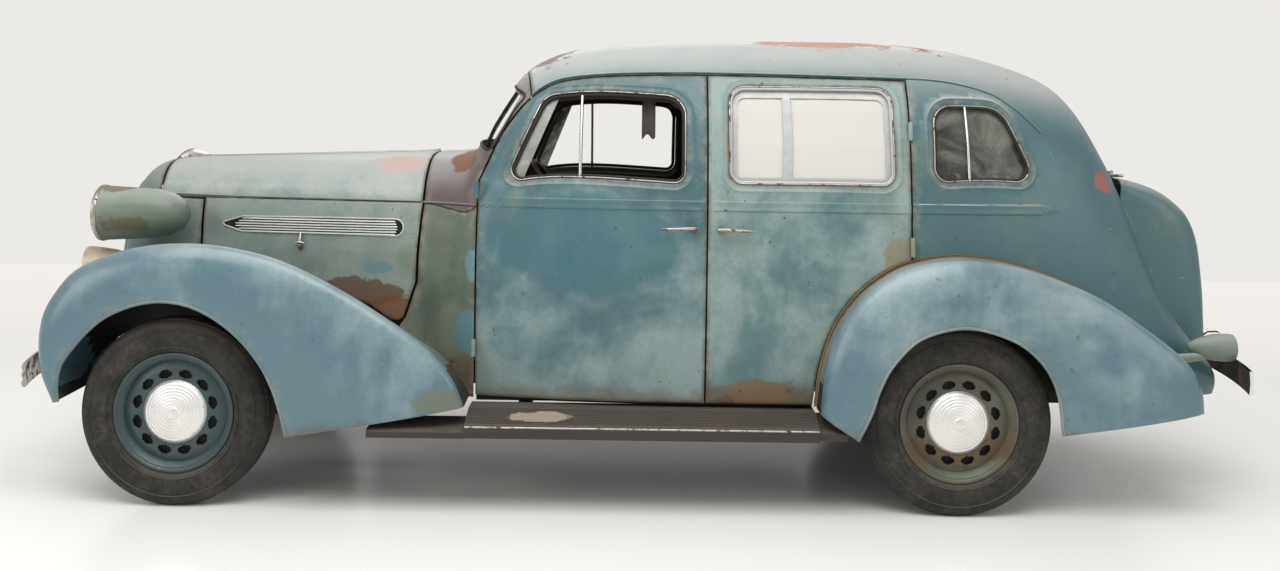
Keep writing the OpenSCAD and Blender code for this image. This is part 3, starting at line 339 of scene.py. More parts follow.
def mirrored(points, faces, extra=None):
    """The mesh and its mirror image across the centre plane, as one."""
    points = np.array(points, float)
    n = len(points)
    both = np.concatenate([points, points * [1, -1, 1]])
    made = list(faces) + [tuple(i + n for i in reversed(f)) for f in faces]
    return both, made, None if extra is None else np.concatenate([extra, extra])


def welded(made, reach=0.0002):
    mesh = bmesh.new()
    mesh.from_mesh(made.data)
    bmesh.ops.remove_doubles(mesh, verts=mesh.verts, dist=reach)
    mesh.to_mesh(made.data)
    mesh.free()


def spaced(low, high, step):
    n = max(1, math.ceil((high - low) / step))
    return np.linspace(low, high, n + 1)


def body_surface(a, b, side_depth=0.0, top_depth=0.0):
    """The left half of the body at a along the car and b round the section, both in millimetres."""
    y, z = skin(a, b / GIRTH, side_depth, top_depth)
    return np.stack([a, -y, z], 1)


def outward(surface, a, b):
    e = 2.0
    along = surface(a + e, b) - surface(a - e, b)
    around = surface(a, b + e) - surface(a, b - e)
    n = np.cross(along, around)
    return n / np.maximum(np.linalg.norm(n, axis=1), 1e-9)[:, None]


WINDOW_BEAD = 24


def moulding(xs, zs):
    """Height of the raised band along the belt line."""
    taper = np.clip((xs - 3300) / 90, 0, 1)
    low, high = 1134 + 17 * taper, 1171 - 17 * taper
    rise = np.clip((zs - low + 3) / 6, 0, 1) * np.clip((high + 3 - zs) / 6, 0, 1)
    groove = np.exp(-((zs - 1152) / 9) ** 2)
    shown = (xs > 1090) & (xs < 3392)
    return (4.5 * rise * rise * (3 - 2 * rise) - 1.6 * groove * rise) * shown


def cut_sheet(outline, holes, extra, step):
    """Triangles that fill the outline without its holes, over a regular grid of points."""
    outline = resample(outline, step)
    holes = [resample(h, step * 0.5) for h in holes]
    xs = [p[0] for p in outline]
    ys = [p[1] for p in outline]
    grid = np.array([(x, y) for x in spaced(min(xs), max(xs), step) for y in spaced(min(ys), max(ys), step)])
    points = np.concatenate([grid] + [e for e in extra if len(e)])
    keep = inside(points, outline) & (distance(points, outline) > 1.2)
    for h in holes:
        keep &= ~inside(points, h) & (distance(points, h) > 1.2)
    kept = points[keep]
    cells = {}
    for i, p in enumerate(kept):
        cells.setdefault((round(p[0] / 1.8), round(p[1] / 1.8)), i)
    kept = kept[sorted(cells.values())]
    loops = [outline] + holes
    points = [Vector(p) for loop in loops for p in loop] + [Vector(p) for p in kept]
    edges = []
    base = 0
    for loop in loops:
        edges += [(base + i, base + (i + 1) % len(loop)) for i in range(len(loop))]
        base += len(loop)
    found = delaunay_2d_cdt(points, edges, [], 0, 1e-4)
    flat = np.array([tuple(p) for p in found[0]])
    faces = np.array([f for f in found[2] if len(f) == 3])
    centre = flat[faces].mean(1)
    good = inside(centre, outline)
    for h in holes:
        good &= ~inside(centre, h)
    faces = faces[good]
    a, b, c = flat[faces[:, 0]], flat[faces[:, 1]], flat[faces[:, 2]]
    turn = (b[:, 0] - a[:, 0]) * (c[:, 1] - a[:, 1]) - (b[:, 1] - a[:, 1]) * (c[:, 0] - a[:, 0])
    faces[turn < 0] = faces[turn < 0][:, ::-1]
    rim = np.minimum(distance(flat, outline), np.min([distance(flat, h) for h in holes], axis=0)
                     if holes else 1e9)
    return flat, faces, rim


def closed_shell(outer, inner, faces):
    """Faces outside and inside with walls between them; outer and inner are lists of points."""
    n = len(outer)
    used = {}
    for f in faces:
        for i in range(3):
            e = (int(f[i]), int(f[(i + 1) % 3]))
            used[e] = used.get(e, 0) + 1
    walls = [(b, a, a + n, b + n) for a, b in used if (b, a) not in used]
    made = [tuple(f) for f in faces] + [tuple(int(i) + n for i in f[::-1]) for f in faces] + walls
    return np.concatenate([outer, inner]), made


def panel(name, outline, material, holes=(), depth=(0, 16), top_depth=None, step=24, bead=True, roll=3.0,
          band=True, both=False, join=False, body="body", replaces=(), slot="body_paint", bump=None,
          surface=body_surface):
    """A pressed sheet on a surface. Its outline and holes are given in the surface's own domain."""
    top_depth = top_depth or depth
    extra = []
    if roll:
        extra += [offset(outline, k, step * 0.7) for k in (3, 7, 12)]
    for h in holes:
        if bead:
            extra += [offset(h, -k, 12) for k in (3, 7, 15, 20, WINDOW_BEAD, 28, 33)]
    if band:
        xs = spaced(min(p[0] for p in outline), max(p[0] for p in outline), step)
        for z in (1129, 1132, 1136, 1139, 1146, 1152, 1158, 1166, 1169, 1173, 1176):
            row = np.stack([xs, share(xs, np.full(len(xs), z)) * GIRTH], 1)
            extra.append(row)
    flat, faces, rim = cut_sheet(outline, holes, extra, step)
    xs = flat[:, 0]
    outer = surface(xs, flat[:, 1], depth[0], top_depth[0])
    normal = outward(surface, xs, flat[:, 1])
    rise = np.zeros(len(xs))
    if roll:
        out_d = distance(flat, resample(outline, step))
        if join:
            out_d = distance(flat, [p for p in resample(outline, step) if p[1] < GIRTH - 1] or outline)
            out_d = np.minimum(out_d, np.where(flat[:, 1] > GIRTH - 30, 99, out_d))
            out_d[flat[:, 1] > GIRTH - 30] = 99
        rise -= np.clip(1 - out_d / 12, 0, 1) ** 2 * roll
    for h in holes if bead else ():
        d = distance(flat, h)
        rise += 4.5 * np.clip(np.cos(np.clip((d - WINDOW_BEAD) / 9, -1, 1) * math.pi) * 0.5 + 0.5, 0, 1)
        rise -= 3.5 * np.clip(1 - d / 10, 0, 1) ** 2
    if band:
        rise += moulding(xs, outer[:, 2])
    if bump is not None:
        rise += bump(xs, outer)
    outer = outer + normal * rise[:, None]
    inner = surface(xs, flat[:, 1], depth[1], top_depth[1])
    if join:
        outer[flat[:, 1] > GIRTH - 0.5, 1] = 0
        inner[flat[:, 1] > GIRTH - 0.5, 1] = 0
        walls_free = flat[:, 1] > GIRTH - 0.5
        points, made = closed_shell(outer, inner, faces)
        n = len(outer)
        made = [f for f in made if len(f) == 3 or not all(walls_free[i % n] for i in f)]
    else:
        points, made = closed_shell(outer, inner, faces)
    # the domain runs towards +x and up, so on the left side its faces look inwards unless they are turned
    p = points[list(made[0])]
    facing = np.cross(p[1] - p[0], p[2] - p[0]) @ normal[made[0][0]]
    if facing < 0:
        made = [f[::-1] for f in made]
    rims = np.concatenate([rim, rim])
    if both or join:
        points, made, rims = mirrored(points, made, rims)
    made_piece = piece(name, points, made, material, body, replaces, slot=slot)
    attribute(made_piece, "rim", np.minimum(rims, 200) * MM)
    if join:
        welded(made_piece)
    return made_piece


def sheet(name, outline, material, depth, step, **more):
    """A plain panel: no rolled edge, no bead round its holes and no moulding."""
    return panel(name, outline, material, more.pop("holes", ()), depth, more.pop("top_depth", None), step,
                 bead=False, roll=0, band=False, **more)


def grid_faces(rows, columns, wrap=False):
    """Quads of a grid whose points run row by row."""
    last = columns if wrap else columns - 1
    return [(r * columns + c, r * columns + (c + 1) % columns, (r + 1) * columns + (c + 1) % columns,
             (r + 1) * columns + c) for r in range(rows - 1) for c in range(last)]


def loft(name, rings, material, body="body", caps=True, smooth=35, replaces=(), both=False, slot=None):
    """A closed skin over rings with the same number of points."""
    rows, columns = len(rings), len(rings[0])
    points = np.array([p for ring in rings for p in ring], float)
    faces = grid_faces(rows, columns, wrap=True)
    if caps:
        faces.append(tuple(range(columns)))
        faces.append(tuple(reversed(range((rows - 1) * columns, rows * columns))))
    if both:
        points, faces, _ = mirrored(points, faces)
    made = piece(name, points, faces, material, body, replaces, smooth, slot)
    recalculated(made)
    return made


def recalculated(made):
    mesh = bmesh.new()
    mesh.from_mesh(made.data)
    bmesh.ops.remove_doubles(mesh, verts=mesh.verts, dist=1e-5)
    bmesh.ops.recalc_face_normals(mesh, faces=mesh.faces)
    mesh.to_mesh(made.data)
    mesh.free()


def tube(name, path, radius, material, body="body", sides=10, closed=False, both=False, slot=None, flat=1.0):
    """A round bar along a path; radius is one number or one for each point."""
    path = np.array(path, float)
    n = len(path)
    radii = radius if hasattr(radius, "__len__") else [radius] * n
    rings = []
    side = None
    for i in range(n):
        before = path[i - 1] if closed or i else path[0]
        after = path[(i + 1) % n] if closed or i < n - 1 else path[-1]
        t = after - before
        t /= max(np.linalg.norm(t), 1e-9)
        if side is None:
            side = np.cross(t, [0.3, 0.5, 0.81])
        side = side - t * (side @ t)
        side /= np.linalg.norm(side)
        up = np.cross(t, side)
        rings.append([path[i] + radii[i] * (math.cos(a) * side + flat * math.sin(a) * up)
                      for a in np.linspace(0, 2 * math.pi, sides, endpoint=False)])
    if closed:
        rings.append(rings[0])
    return loft(name, rings, material, body, caps=not closed, smooth=50, both=both, slot=slot)


def spun(name, profile, centre, axis, material, body="body", steps=96, smooth=35, replaces=(), slot=None):
    """A profile of (radius, place along the axis) turned round an axis through centre with Blender's spin."""
    bpy.ops.object.select_all(action="DESELECT")
    mesh = bpy.data.meshes.new(name)
    across = Vector((0, 0, 1)) if abs(axis[2]) < 0.9 else Vector((1, 0, 0))
    axis = Vector(axis).normalized()
    centre = Vector(centre)
    points = [Vector(place(*(centre + axis * h + across * r))) for r, h in profile]
    mesh.from_pydata(points, [(i, i + 1) for i in range(len(points) - 1)], [])
    made = bpy.data.objects.new(name, mesh)
    bpy.context.scene.collection.objects.link(made)
    made.select_set(True)
    bpy.context.view_layer.objects.active = made
    bpy.ops.object.mode_set(mode="EDIT")
    bpy.ops.mesh.select_all(action="SELECT")
    bpy.ops.mesh.spin(steps=steps, angle=2 * math.pi, center=Vector(place(*centre)), axis=axis)
    bpy.ops.mesh.select_all(action="SELECT")
    bpy.ops.mesh.remove_doubles(threshold=1e-5)
    bpy.ops.mesh.normals_make_consistent(inside=False)
    bpy.ops.object.mode_set(mode="OBJECT")
    return finished(made, material, body, replaces, smooth, slot)


def block(name, low, high, material, body="body", bevel=3.0, replaces=(), slot=None, both=False):
    """A block with rounded edges, added as a cube and bevelled."""
    bpy.ops.object.select_all(action="DESELECT")
    low, high = Vector(low), Vector(high)
    bpy.ops.mesh.primitive_cube_add(size=1, location=(0, 0, 0))
    made = bpy.context.object
    made.name = name
    made.data.name = name
    middle_point, size = (low + high) / 2, high - low
    for v in made.data.vertices:
        v.co = Vector(place(*(middle_point + Vector([v.co[i] * size[i] for i in range(3)]))))
    if bevel:
        m = made.modifiers.new("edges", "BEVEL")
        m.width = bevel * MM
        m.segments = 3
        bpy.ops.object.modifier_apply(modifier="edges")
    if both:
        twin(made)
    return finished(made, material, body, replaces, slot=slot)


def twin(made):
    """Adds the mirror image across the centre plane to the same mesh."""
    mesh = bmesh.new()
    mesh.from_mesh(made.data)
    copy = bmesh.ops.duplicate(mesh, geom=mesh.verts[:] + mesh.edges[:] + mesh.faces[:])["geom"]
    verts = [g for g in copy if isinstance(g, bmesh.types.BMVert)]
    for v in verts:
        v.co.y *= -1
    bmesh.ops.reverse_faces(mesh, faces=[g for g in copy if isinstance(g, bmesh.types.BMFace)])
    mesh.to_mesh(made.data)
    mesh.free()


def copied(made, name, body, change):
    """The piece again under another name, with change applied to each corner."""
    mesh = made.data.copy()
    mesh.name = name
    other = bpy.data.objects.new(name, mesh)
    bpy.context.scene.collection.objects.link(other)
    for v in mesh.vertices:
        v.co = change(v.co)
    if change(Vector((0, 1, 0))).y - change(Vector((0, 0, 0))).y < 0:
        mesh.flip_normals()
    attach(other, body)
    if "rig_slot" in made:
        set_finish(other, made["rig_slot"])
    return other


def across(v):
    return Vector((v.x, -v.y, v.z))


# ---- finishes ----

def tone(r, g, b):
    """A colour given as on a screen, 0 to 255, as the shader takes it."""
    def linear(v):
        v /= 255
        return v / 12.92 if v < 0.04045 else ((v + 0.055) / 1.055) ** 2.4
    return (linear(r), linear(g), linear(b), 1.0)


class Value:
    """A number or colour that varies over a surface."""

    def __init__(self, finish, socket):
        self.finish = finish
        self.socket = socket

    def math(self, operation, other=None, clamp=False):
        inputs = {0: self} if other is None else {0: self, 1: other}
        return self.finish.node("ShaderNodeMath", {"operation": operation, "use_clamp": clamp}, inputs)

    def __add__(self, other):
        return self.math("ADD", other)

    __radd__ = __add__

    def __mul__(self, other):
        return self.math("MULTIPLY", other)

    __rmul__ = __mul__

    def __sub__(self, other):
        return self.math("SUBTRACT", other)

    def __rsub__(self, other):
        return self.finish.node("ShaderNodeMath", {"operation": "SUBTRACT"}, {0: other, 1: self})

    def lower(self, other):
        return self.math("MINIMUM", other)

    def higher(self, other):
        return self.math("MAXIMUM", other)

    def between(self, low, high):
        """0 where it is under low and 1 over high, smoothly; low may be the larger."""
        return self.finish.node("ShaderNodeMapRange", {"interpolation_type": "SMOOTHSTEP"},
                                {"Value": self, "From Min": low, "From Max": high})


class Finish:
    """A material whose shader is written as expressions."""

    def __init__(self, name, **constants):
        self.material = bpy.data.materials.new(name)
        self.material.use_nodes = True
        self.tree = self.material.node_tree
        self.shader = self.tree.nodes["Principled BSDF"]
        for socket, value in constants.items():
            self.shader.inputs[socket.replace("_", " ")].default_value = value
        self._places = {}

    def node(self, kind, settings, inputs, output=0):
        made = self.tree.nodes.new(kind)
        for key, value in settings.items():
            setattr(made, key, value)
        for key, value in inputs.items():
            if isinstance(value, Value):
                self.tree.links.new(value.socket, made.inputs[key])
            else:
                made.inputs[key].default_value = value
        return Value(self, made.outputs[output])

    def place(self):
        if "place" not in self._places:
            self._places["place"] = self.node("ShaderNodeTexCoord", {}, {}, "Object")
        return self._places["place"]

    def axis(self, letter):
        if letter not in self._places:
            self._places[letter] = self.node("ShaderNodeSeparateXYZ", {}, {0: self.place()}, letter)
        return self._places[letter]

    def stretched(self, x, y, z):
        return self.node("ShaderNodeMapping", {}, {"Vector": self.place(), "Scale": (x, y, z)})

    def noise(self, scale, detail=4, rough=0.55, where=None, warp=0.0, seed=0.0):
        where = where or self.place()
        if seed:
            where = self.node("ShaderNodeVectorMath", {"operation": "ADD"},
                    {0: where, 1: (seed, seed * 1.7, -seed)})
        return self.node("ShaderNodeTexNoise", {},
                {"Vector": where, "Scale": scale, "Detail": detail, "Roughness": rough, "Distortion": warp})

    def rim(self):
        if "rim" not in self._places:
            self._places["rim"] = self.node("ShaderNodeAttribute", {"attribute_name": "rim"}, {}, "Fac")
        return self._places["rim"]

    def facing(self, letter):
        key = "facing" + letter
        if key not in self._places:
            normal = self.node("ShaderNodeNewGeometry", {}, {}, "Normal")
            self._places[key] = self.node("ShaderNodeSeparateXYZ", {}, {0: normal}, letter)
        return self._places[key]

    def mix(self, mask, a, b):
        """Colour a where the mask is 0 and b where it is 1."""
        return self.node("ShaderNodeMix", {"data_type": "RGBA"}, {"Factor": mask, 6: a, 7: b}, 2)

    def spot(self, x, y, z, rx, ry, rz, wander=0.35, scale=9.0):
        """A ragged patch round a place, in millimetres behind the front axle."""
        centre = place(x, y, z)
        moved = self.node("ShaderNodeVectorMath", {"operation": "SUBTRACT"}, {0: self.place(), 1: centre})
        sized = self.node("ShaderNodeVectorMath", {"operation": "MULTIPLY"},
                          {0: moved, 1: (1 / (rx * MM), 1 / (ry * MM), 1 / (rz * MM))})
        length = self.node("ShaderNodeVectorMath", {"operation": "LENGTH"}, {0: sized}, "Value")
        ragged = length + (self.noise(scale, 6, 0.65) - 0.5) * (wander * 4)
        return ragged.between(1.05, 0.85)

    def bump(self, height, distance=0.001, strength=1.0):
        made = self.node("ShaderNodeBump", {}, {"Height": height, "Distance": distance, "Strength": strength})
        self.tree.links.new(made.socket, self.shader.inputs["Normal"])

    def paint(self, **sockets):
        for name, value in sockets.items():
            socket = self.shader.inputs[name.replace("_", " ")]
            if isinstance(value, Value):
                self.tree.links.new(value.socket, socket)
            else:
                socket.default_value = value
        return self.material


RUST = tone(112, 70, 44)
DARK_RUST = tone(66, 46, 34)
RED_RUST = tone(142, 88, 72)
DIRT = tone(98, 88, 68)
# pale colour for upward faces: partly real chalking, partly a painted highlight from the light above
CHALK_AND_TOP_LIGHT = tone(168, 171, 168)
PRIMER = tone(150, 150, 140)


def old_paint(name, deep, pale, pale_from=0.45, pale_to=0.62, tilt=(0, 0, 0), chalk_and_top_light=0.5, rust_below=480,
              rust_amount=1.0, spots=(), gloss=0.42, coat=0.15, green=0.4, rim_dirt=1.0, chips=1.0,
              deep_spots=()):
    """Sun-bleached, stained lacquer, with pale chalk and a painted highlight on upward faces; tilt makes it
    paler along an axis, spots are (place, size), colour.
    """
    f = Finish(name, Coat_Roughness=0.25)
    big = f.noise(1.7, 5, 0.6, warp=0.6)
    mid = f.noise(6.5, 6, 0.62, seed=3.1)
    streak = f.noise(1.0, 5, 0.6, where=f.stretched(11, 11, 1.3), seed=1.3)
    fine = f.noise(60, 4, 0.6)
    cloud = big * 0.62 + mid * 0.26 + streak * 0.12
    for letter, amount in zip("XYZ", tilt):
        if amount:
            cloud = cloud + f.axis(letter) * amount
    faded = cloud.between(pale_from, pale_to)
    colour = f.mix(faded, deep, pale)
    greenish = tone(98, 112, 94)
    colour = f.mix(f.noise(3.2, 5, 0.6, seed=7.7).between(0.5, 0.68) * green, colour, greenish)
    colour = f.mix(fine.between(0.35, 0.75) * 0.18, colour, tone(70, 92, 92))
    for where, deeper in deep_spots:
        colour = f.mix(f.spot(*where) * 0.75, colour, deeper)
    # upward faces turn pale: real sun chalking and a painted highlight from the overhead light, both at once
    up = f.facing("Z").between(0.36, 0.88)
    colour = f.mix(up * chalk_and_top_light * (0.75 + mid * 0.5).lower(1.0), colour, CHALK_AND_TOP_LIGHT)
    # grime lies along the edges, with a paler tan band just beyond it
    rim = f.rim()
    grime = rim.between(0.016, 0.001) * f.noise(14, 5, 0.6, seed=2.2).between(0.25, 0.6)
    colour = f.mix(grime * (0.75 * rim_dirt), colour, tone(74, 68, 54))
    halo = rim.between(0.05, 0.004) * f.noise(22, 5, 0.65, seed=5.0).between(0.45, 0.65)
    colour = f.mix(halo * (0.4 * rim_dirt), colour, tone(150, 140, 118))
    height = f.axis("Z")
    low = height.between((rust_below + 130) * MM, (rust_below - 90) * MM)
    stained = (low * 0.9 + f.noise(7, 6, 0.7, seed=4.0) - 0.5).between(0.42, 0.8) * rust_amount
    rust_grain = f.noise(45, 6, 0.7, seed=9.0)
    rusty = f.mix(rust_grain.between(0.4, 0.65), RUST, DARK_RUST)
    colour = f.mix(stained * 0.6, colour, f.mix(f.noise(9, 4, 0.6).between(0.45, 0.6), DIRT, rusty))
    roughness = gloss + 0.2 * faded + 0.25 * up * chalk_and_top_light
    bare = stained
    for where, shade in spots:
        patch = f.spot(*where)
        colour = f.mix(patch * 0.85, colour, shade)
        bare = bare.higher(patch)
    pits = f.noise(26, 3, 0.5, seed=6.0).between(0.70, 0.735) * f.noise(3, 3, 0.5, seed=8.0).between(0.44,
            0.6)
    pits = pits * chips
    colour = f.mix(pits, colour, tone(72, 66, 56))
    nick = f.noise(48, 2, 0.5, seed=11.0).between(0.755, 0.775) * chips
    colour = f.mix(nick * 0.7, colour, PRIMER)
    roughness = roughness + bare * 0.25 + pits * 0.2
    bumps = fine * 0.25 + rust_grain * bare * 1.2 - pits * 1.0 + mid * 0.3
    f.bump(bumps, 0.0009, 0.55)
    return f.paint(Base_Color=colour, Roughness=roughness.lower(0.9),
            Coat_Weight=(1 - bare).lower(1.0) * coat)


def chrome(name, shine=0.16, tarnish=0.35, colour=tone(206, 207, 206), rust=0.0):
    f = Finish(name, Metallic=1.0)
    cloud = f.noise(16, 6, 0.65)
    spots = f.noise(90, 4, 0.6, seed=2.0).between(0.6, 0.7) * cloud.between(0.4, 0.6)
    shade = f.mix(spots * tarnish, colour, tone(120, 108, 92))
    rough = shine + cloud * 0.18 + spots * 0.3
    if rust:
        eaten = f.noise(24, 7, 0.7, seed=5.0).between(0.62 - 0.3 * rust, 0.72 - 0.3 * rust)
        shade = f.mix(eaten, shade, f.mix(f.noise(60, 4, 0.6).between(0.4, 0.6), RUST, DARK_RUST))
        rough = rough + eaten * 0.4
        f.paint(Metallic=1 - eaten * 0.9)
        f.bump(eaten * f.noise(90, 4, 0.6), 0.0008, 0.7)
    return f.paint(Base_Color=shade, Roughness=rough.lower(1.0))


def dusty(name, colour, dust, amount=0.5, rough=0.75, grain=70, depth=0.0006, low=0.25, spread=5.0,
          patches=()):
    """A dull surface with dust lying in it, for rubber, black trim and rusty iron."""
    f = Finish(name)
    cloud = f.noise(spread, 6, 0.65) * 0.6 + f.noise(grain, 4, 0.6, seed=3.0) * 0.4
    lying = f.facing("Z").between(0.1, 0.9) * 0.5 + low
    mask = (cloud + lying - 0.25).between(0.45, 0.85) * amount
    shade = f.mix(mask, colour, dust)
    for where, patch in patches:
        shade = f.mix(f.spot(*where) * 0.9, shade, patch)
    f.bump(f.noise(grain, 5, 0.65) + f.noise(grain * 4, 3, 0.5) * 0.4, depth, 0.6)
    return f.paint(Base_Color=shade, Roughness=(rough + mask * 0.2).lower(1.0))


def iron(name, amount=0.7):
    f = Finish(name)
    grain = f.noise(38, 7, 0.7)
    cloud = f.noise(5, 5, 0.6, seed=1.0)
    shade = f.mix(grain.between(0.4, 0.62), tone(74, 50, 36), tone(120, 76, 46))
    shade = f.mix(cloud.between(0.48, 0.66) * amount, tone(40, 38, 35), shade)
    f.bump(grain, 0.001, 0.8)
    return f.paint(Base_Color=shade, Roughness=0.72 + grain * 0.2)


def dirty_glass(name, tint=tone(60, 62, 58), haze=0.5, base=0.12):
    """Old glass: clear, with a grey film that hides what is behind it."""
    f = Finish(name, Roughness=0.08, IOR=1.45)
    film = f.noise(5, 6, 0.65, warp=0.8).between(0.3, 0.75)
    specks = f.noise(120, 3, 0.6, seed=4.0).between(0.62, 0.75)
    wiped = f.noise(9, 4, 0.5, where=f.stretched(1, 1, 3), seed=6.0).between(0.4, 0.7)
    shade = f.mix(film * 0.6 + specks * 0.3, tint, tone(150, 148, 138))
    alpha = base + film * haze + specks * 0.25 + wiped * (haze * 0.3)
    return f.paint(Base_Color=shade, Alpha=alpha.lower(0.97), Roughness=0.1 + film * 0.35)


def cloth(name, colour, stain, weave=900.0, deep=0.0008):
    f = Finish(name, Sheen_Weight=0.25, Sheen_Roughness=0.6)
    threads = f.node("ShaderNodeTexWave", {"wave_type": "BANDS", "bands_direction": "X"},
                     {"Vector": f.place(), "Scale": weave / 6.3, "Distortion": 1.5, "Detail": 2.0})
    cross = f.node("ShaderNodeTexWave", {"wave_type": "BANDS", "bands_direction": "Z"},
                   {"Vector": f.place(), "Scale": weave / 6.3, "Distortion": 1.5, "Detail": 2.0})
    woven = threads * 0.5 + cross * 0.5
    worn = f.noise(4, 6, 0.65, warp=0.5).between(0.4, 0.66)
    shade = f.mix(worn * 0.7, colour, stain)
    shade = f.mix(woven * 0.25, shade, tone(38, 33, 28))
    f.bump(woven + f.noise(20, 5, 0.6) * 0.8, deep, 0.6)
    return f.paint(Base_Color=shade, Roughness=0.86 + worn * 0.08)


# ---- outlines of this car's panels ----

def share_at_width(x, y):
    """The s at which the upper body is y from the centre plane."""
    x = np.asarray(x, float)
    low, high = np.full(x.shape, LOW_SHARE), np.ones(x.shape)
    for _ in range(26):
        half = (low + high) / 2
        wide = skin(x, half)[0] > y
        low, high = np.where(wide, half, low), np.where(wide, high, half)
    return (low + high) / 2


def at_width(xs, y):
    return [(float(x), float(share_at_width(x, y)) * GIRTH) for x in xs]


def smooth(points, n=6):
    """Points on a soft curve through the points."""
    t = [(i, p[0]) for i, p in enumerate(points)]
    u = [(i, p[1]) for i, p in enumerate(points)]
    steps = np.linspace(0, len(points) - 1, (len(points) - 1) * n + 1)
    return list(zip(curve(t, steps).tolist(), curve(u, steps).tolist()))


def grown(loop, amount):
    """The loop with each edge moved out by amount."""
    a = np.array(loop, float)
    if area(loop) < 0:
        amount = -amount
    before, after = a - np.roll(a, 1, 0), np.roll(a, -1, 0) - a
    n1 = np.stack([before[:, 1], -before[:, 0]], 1) / np.maximum(np.linalg.norm(before, axis=1), 1e-9)[:,
            None]
    n2 = np.stack([after[:, 1], -after[:, 0]], 1) / np.maximum(np.linalg.norm(after, axis=1), 1e-9)[:, None]
    bisector = n1 + n2
    scale = 2 / np.maximum((bisector ** 2).sum(1), 0.5)
    return [tuple(p) for p in a + bisector * scale[:, None] * amount]


def rail(x, drop=0.0):
    return (x, float(curve(RAIL, x)) - drop)


WELT = smooth(REAR_CROWN, 6)
FRONT_DOOR = ([(DOOR_FRONT, SILL), (DOOR_FRONT, 1232)]
        + [rail(x) for x in (1134, 1150, 1168, 1185, 1202, 1226, 1250, 1276, 1303, 1338, 1373, 1408, 1444,
        1512, 1583, 1722, 1860)] + [rail(PILLAR_X), (PILLAR_X, SILL)])
REAR_DOOR = ([(PILLAR_X, SILL), rail(PILLAR_X), rail(2200), rail(2400), rail(2600), rail(DOOR_REAR),
              (DOOR_REAR, 958)] + [(x - 12, z + 3) for x, z in WELT[28::-2] if z > SILL] + [(2422, SILL)])
FRONT_WINDOW = hull_of_circles([(1282, 1282, 46), (1876, 1282, 46), (1834, 1496, 88), (1420, 1496, 88)])
REAR_WINDOW = hull_of_circles([(2138, 1288, 52), (2678, 1288, 52), (2664, 1556, 66), (2152, 1556, 66)])
QUARTER_WINDOW = hull_of_circles([(2936, 1312, 56), (3208, 1316, 58), (3096, 1448, 108), (2960, 1482, 76)])
HEADER_X = 1226


def windshield_outline():
    """The left pane's opening, thrown onto the surface along the pane's own direction."""
    tilt, veer = math.radians(30), math.radians(6)
    made = []
    for u, v in resample(rounded([(-14, 12), (-546, 12), (-506, 280), (-14, 288)], 30), 24):
        local = (-u * math.sin(veer), u * math.cos(veer), v)
        at = (1090 + local[0] * math.cos(tilt) + local[2] * math.sin(tilt), local[1],
              1362 - local[0] * math.sin(tilt) + local[2] * math.cos(tilt))
        way = (math.cos(veer) * math.cos(tilt), math.sin(veer), -math.cos(veer) * math.sin(tilt))
        start = [at[i] - way[i] * 200 for i in range(3)]
        x, s = meet(start, way)
        made.append((x, s * GIRTH))
    return made


def thrown(points, x, way):
    """Points (y, z) thrown onto the surface along the car."""
    made = []
    for y, z in points:
        hit, s = meet((x, y, z), (way, 0, 0))
        made.append((hit, s * GIRTH))
    return made


def shell_outline():
    """Left half of the roof, the quarter and the tail round the rear window."""
    window = rounded([(-0.5, 1490), (-320, 1490), (-320, 1628), (-0.5, 1628)], [0, 50, 50, 0])
    seen = thrown(resample(window, 22)[:-6], 3900, -1)
    low = [(x + (2962 - x) * 0.09, max(z - (z - 350) * 0.09, 384)) for x, z in WELT[::3]]
    loop = domain([rail(x, -GAP) for x in (1308, 1340, 1373, 1408, 1444, 1512, 1583, 1722, 1860, 2004, 2200,
            2400, 2600, 2790)])
    loop += domain([(DOOR_REAR + GAP, 1655), (DOOR_REAR + GAP, 958)])
    loop += domain([(x - 12 + 2 * GAP, z + 3) for x, z in WELT[28::-2]])
    loop += domain([(2426, 384)] + low[1:] + [(3900, 396), (4086, 400)])
    loop += at_width(np.linspace(4086, 3712, 16), 400)
    loop += [(3712, GIRTH)]
    loop += [(seen[0][0], GIRTH)] + seen[1:-1] + [(seen[-1][0], GIRTH)]
    loop += [(HEADER_X, GIRTH)]
    return loop


# ---- what a user may change ----

class SedanSizes(bpy.types.PropertyGroup):
    """Sizes of the surface detail, in metres."""
    sheet_step: bpy.props.FloatProperty(name="Sheet step", description="Spacing of the points on a panel",
            default=0.024, subtype="DISTANCE")
    wheel_steps: bpy.props.IntProperty(name="Wheel steps", description="Steps round a wheel", default=96)


class SedanColours(bpy.types.PropertyGroup):
    """Main colours of the old finish."""
    body: bpy.props.FloatVectorProperty(name="Body", description="Least faded body colour", subtype="COLOR",
            size=4, default=tone(62, 96, 102))
    faded: bpy.props.FloatVectorProperty(name="Faded", description="Bleached body colour", subtype="COLOR",
            size=4, default=tone(126, 145, 144))
    fender: bpy.props.FloatVectorProperty(name="Fenders", description="Colour of the fenders",
            subtype="COLOR", size=4, default=tone(84, 113, 123))


def sizes():
    return bpy.context.scene.sedan_sizes


def colours():
    return bpy.context.scene.sedan_colours


def step():
    return sizes().sheet_step / MM


class FINISHES:
    """The materials, made once by the first operator."""


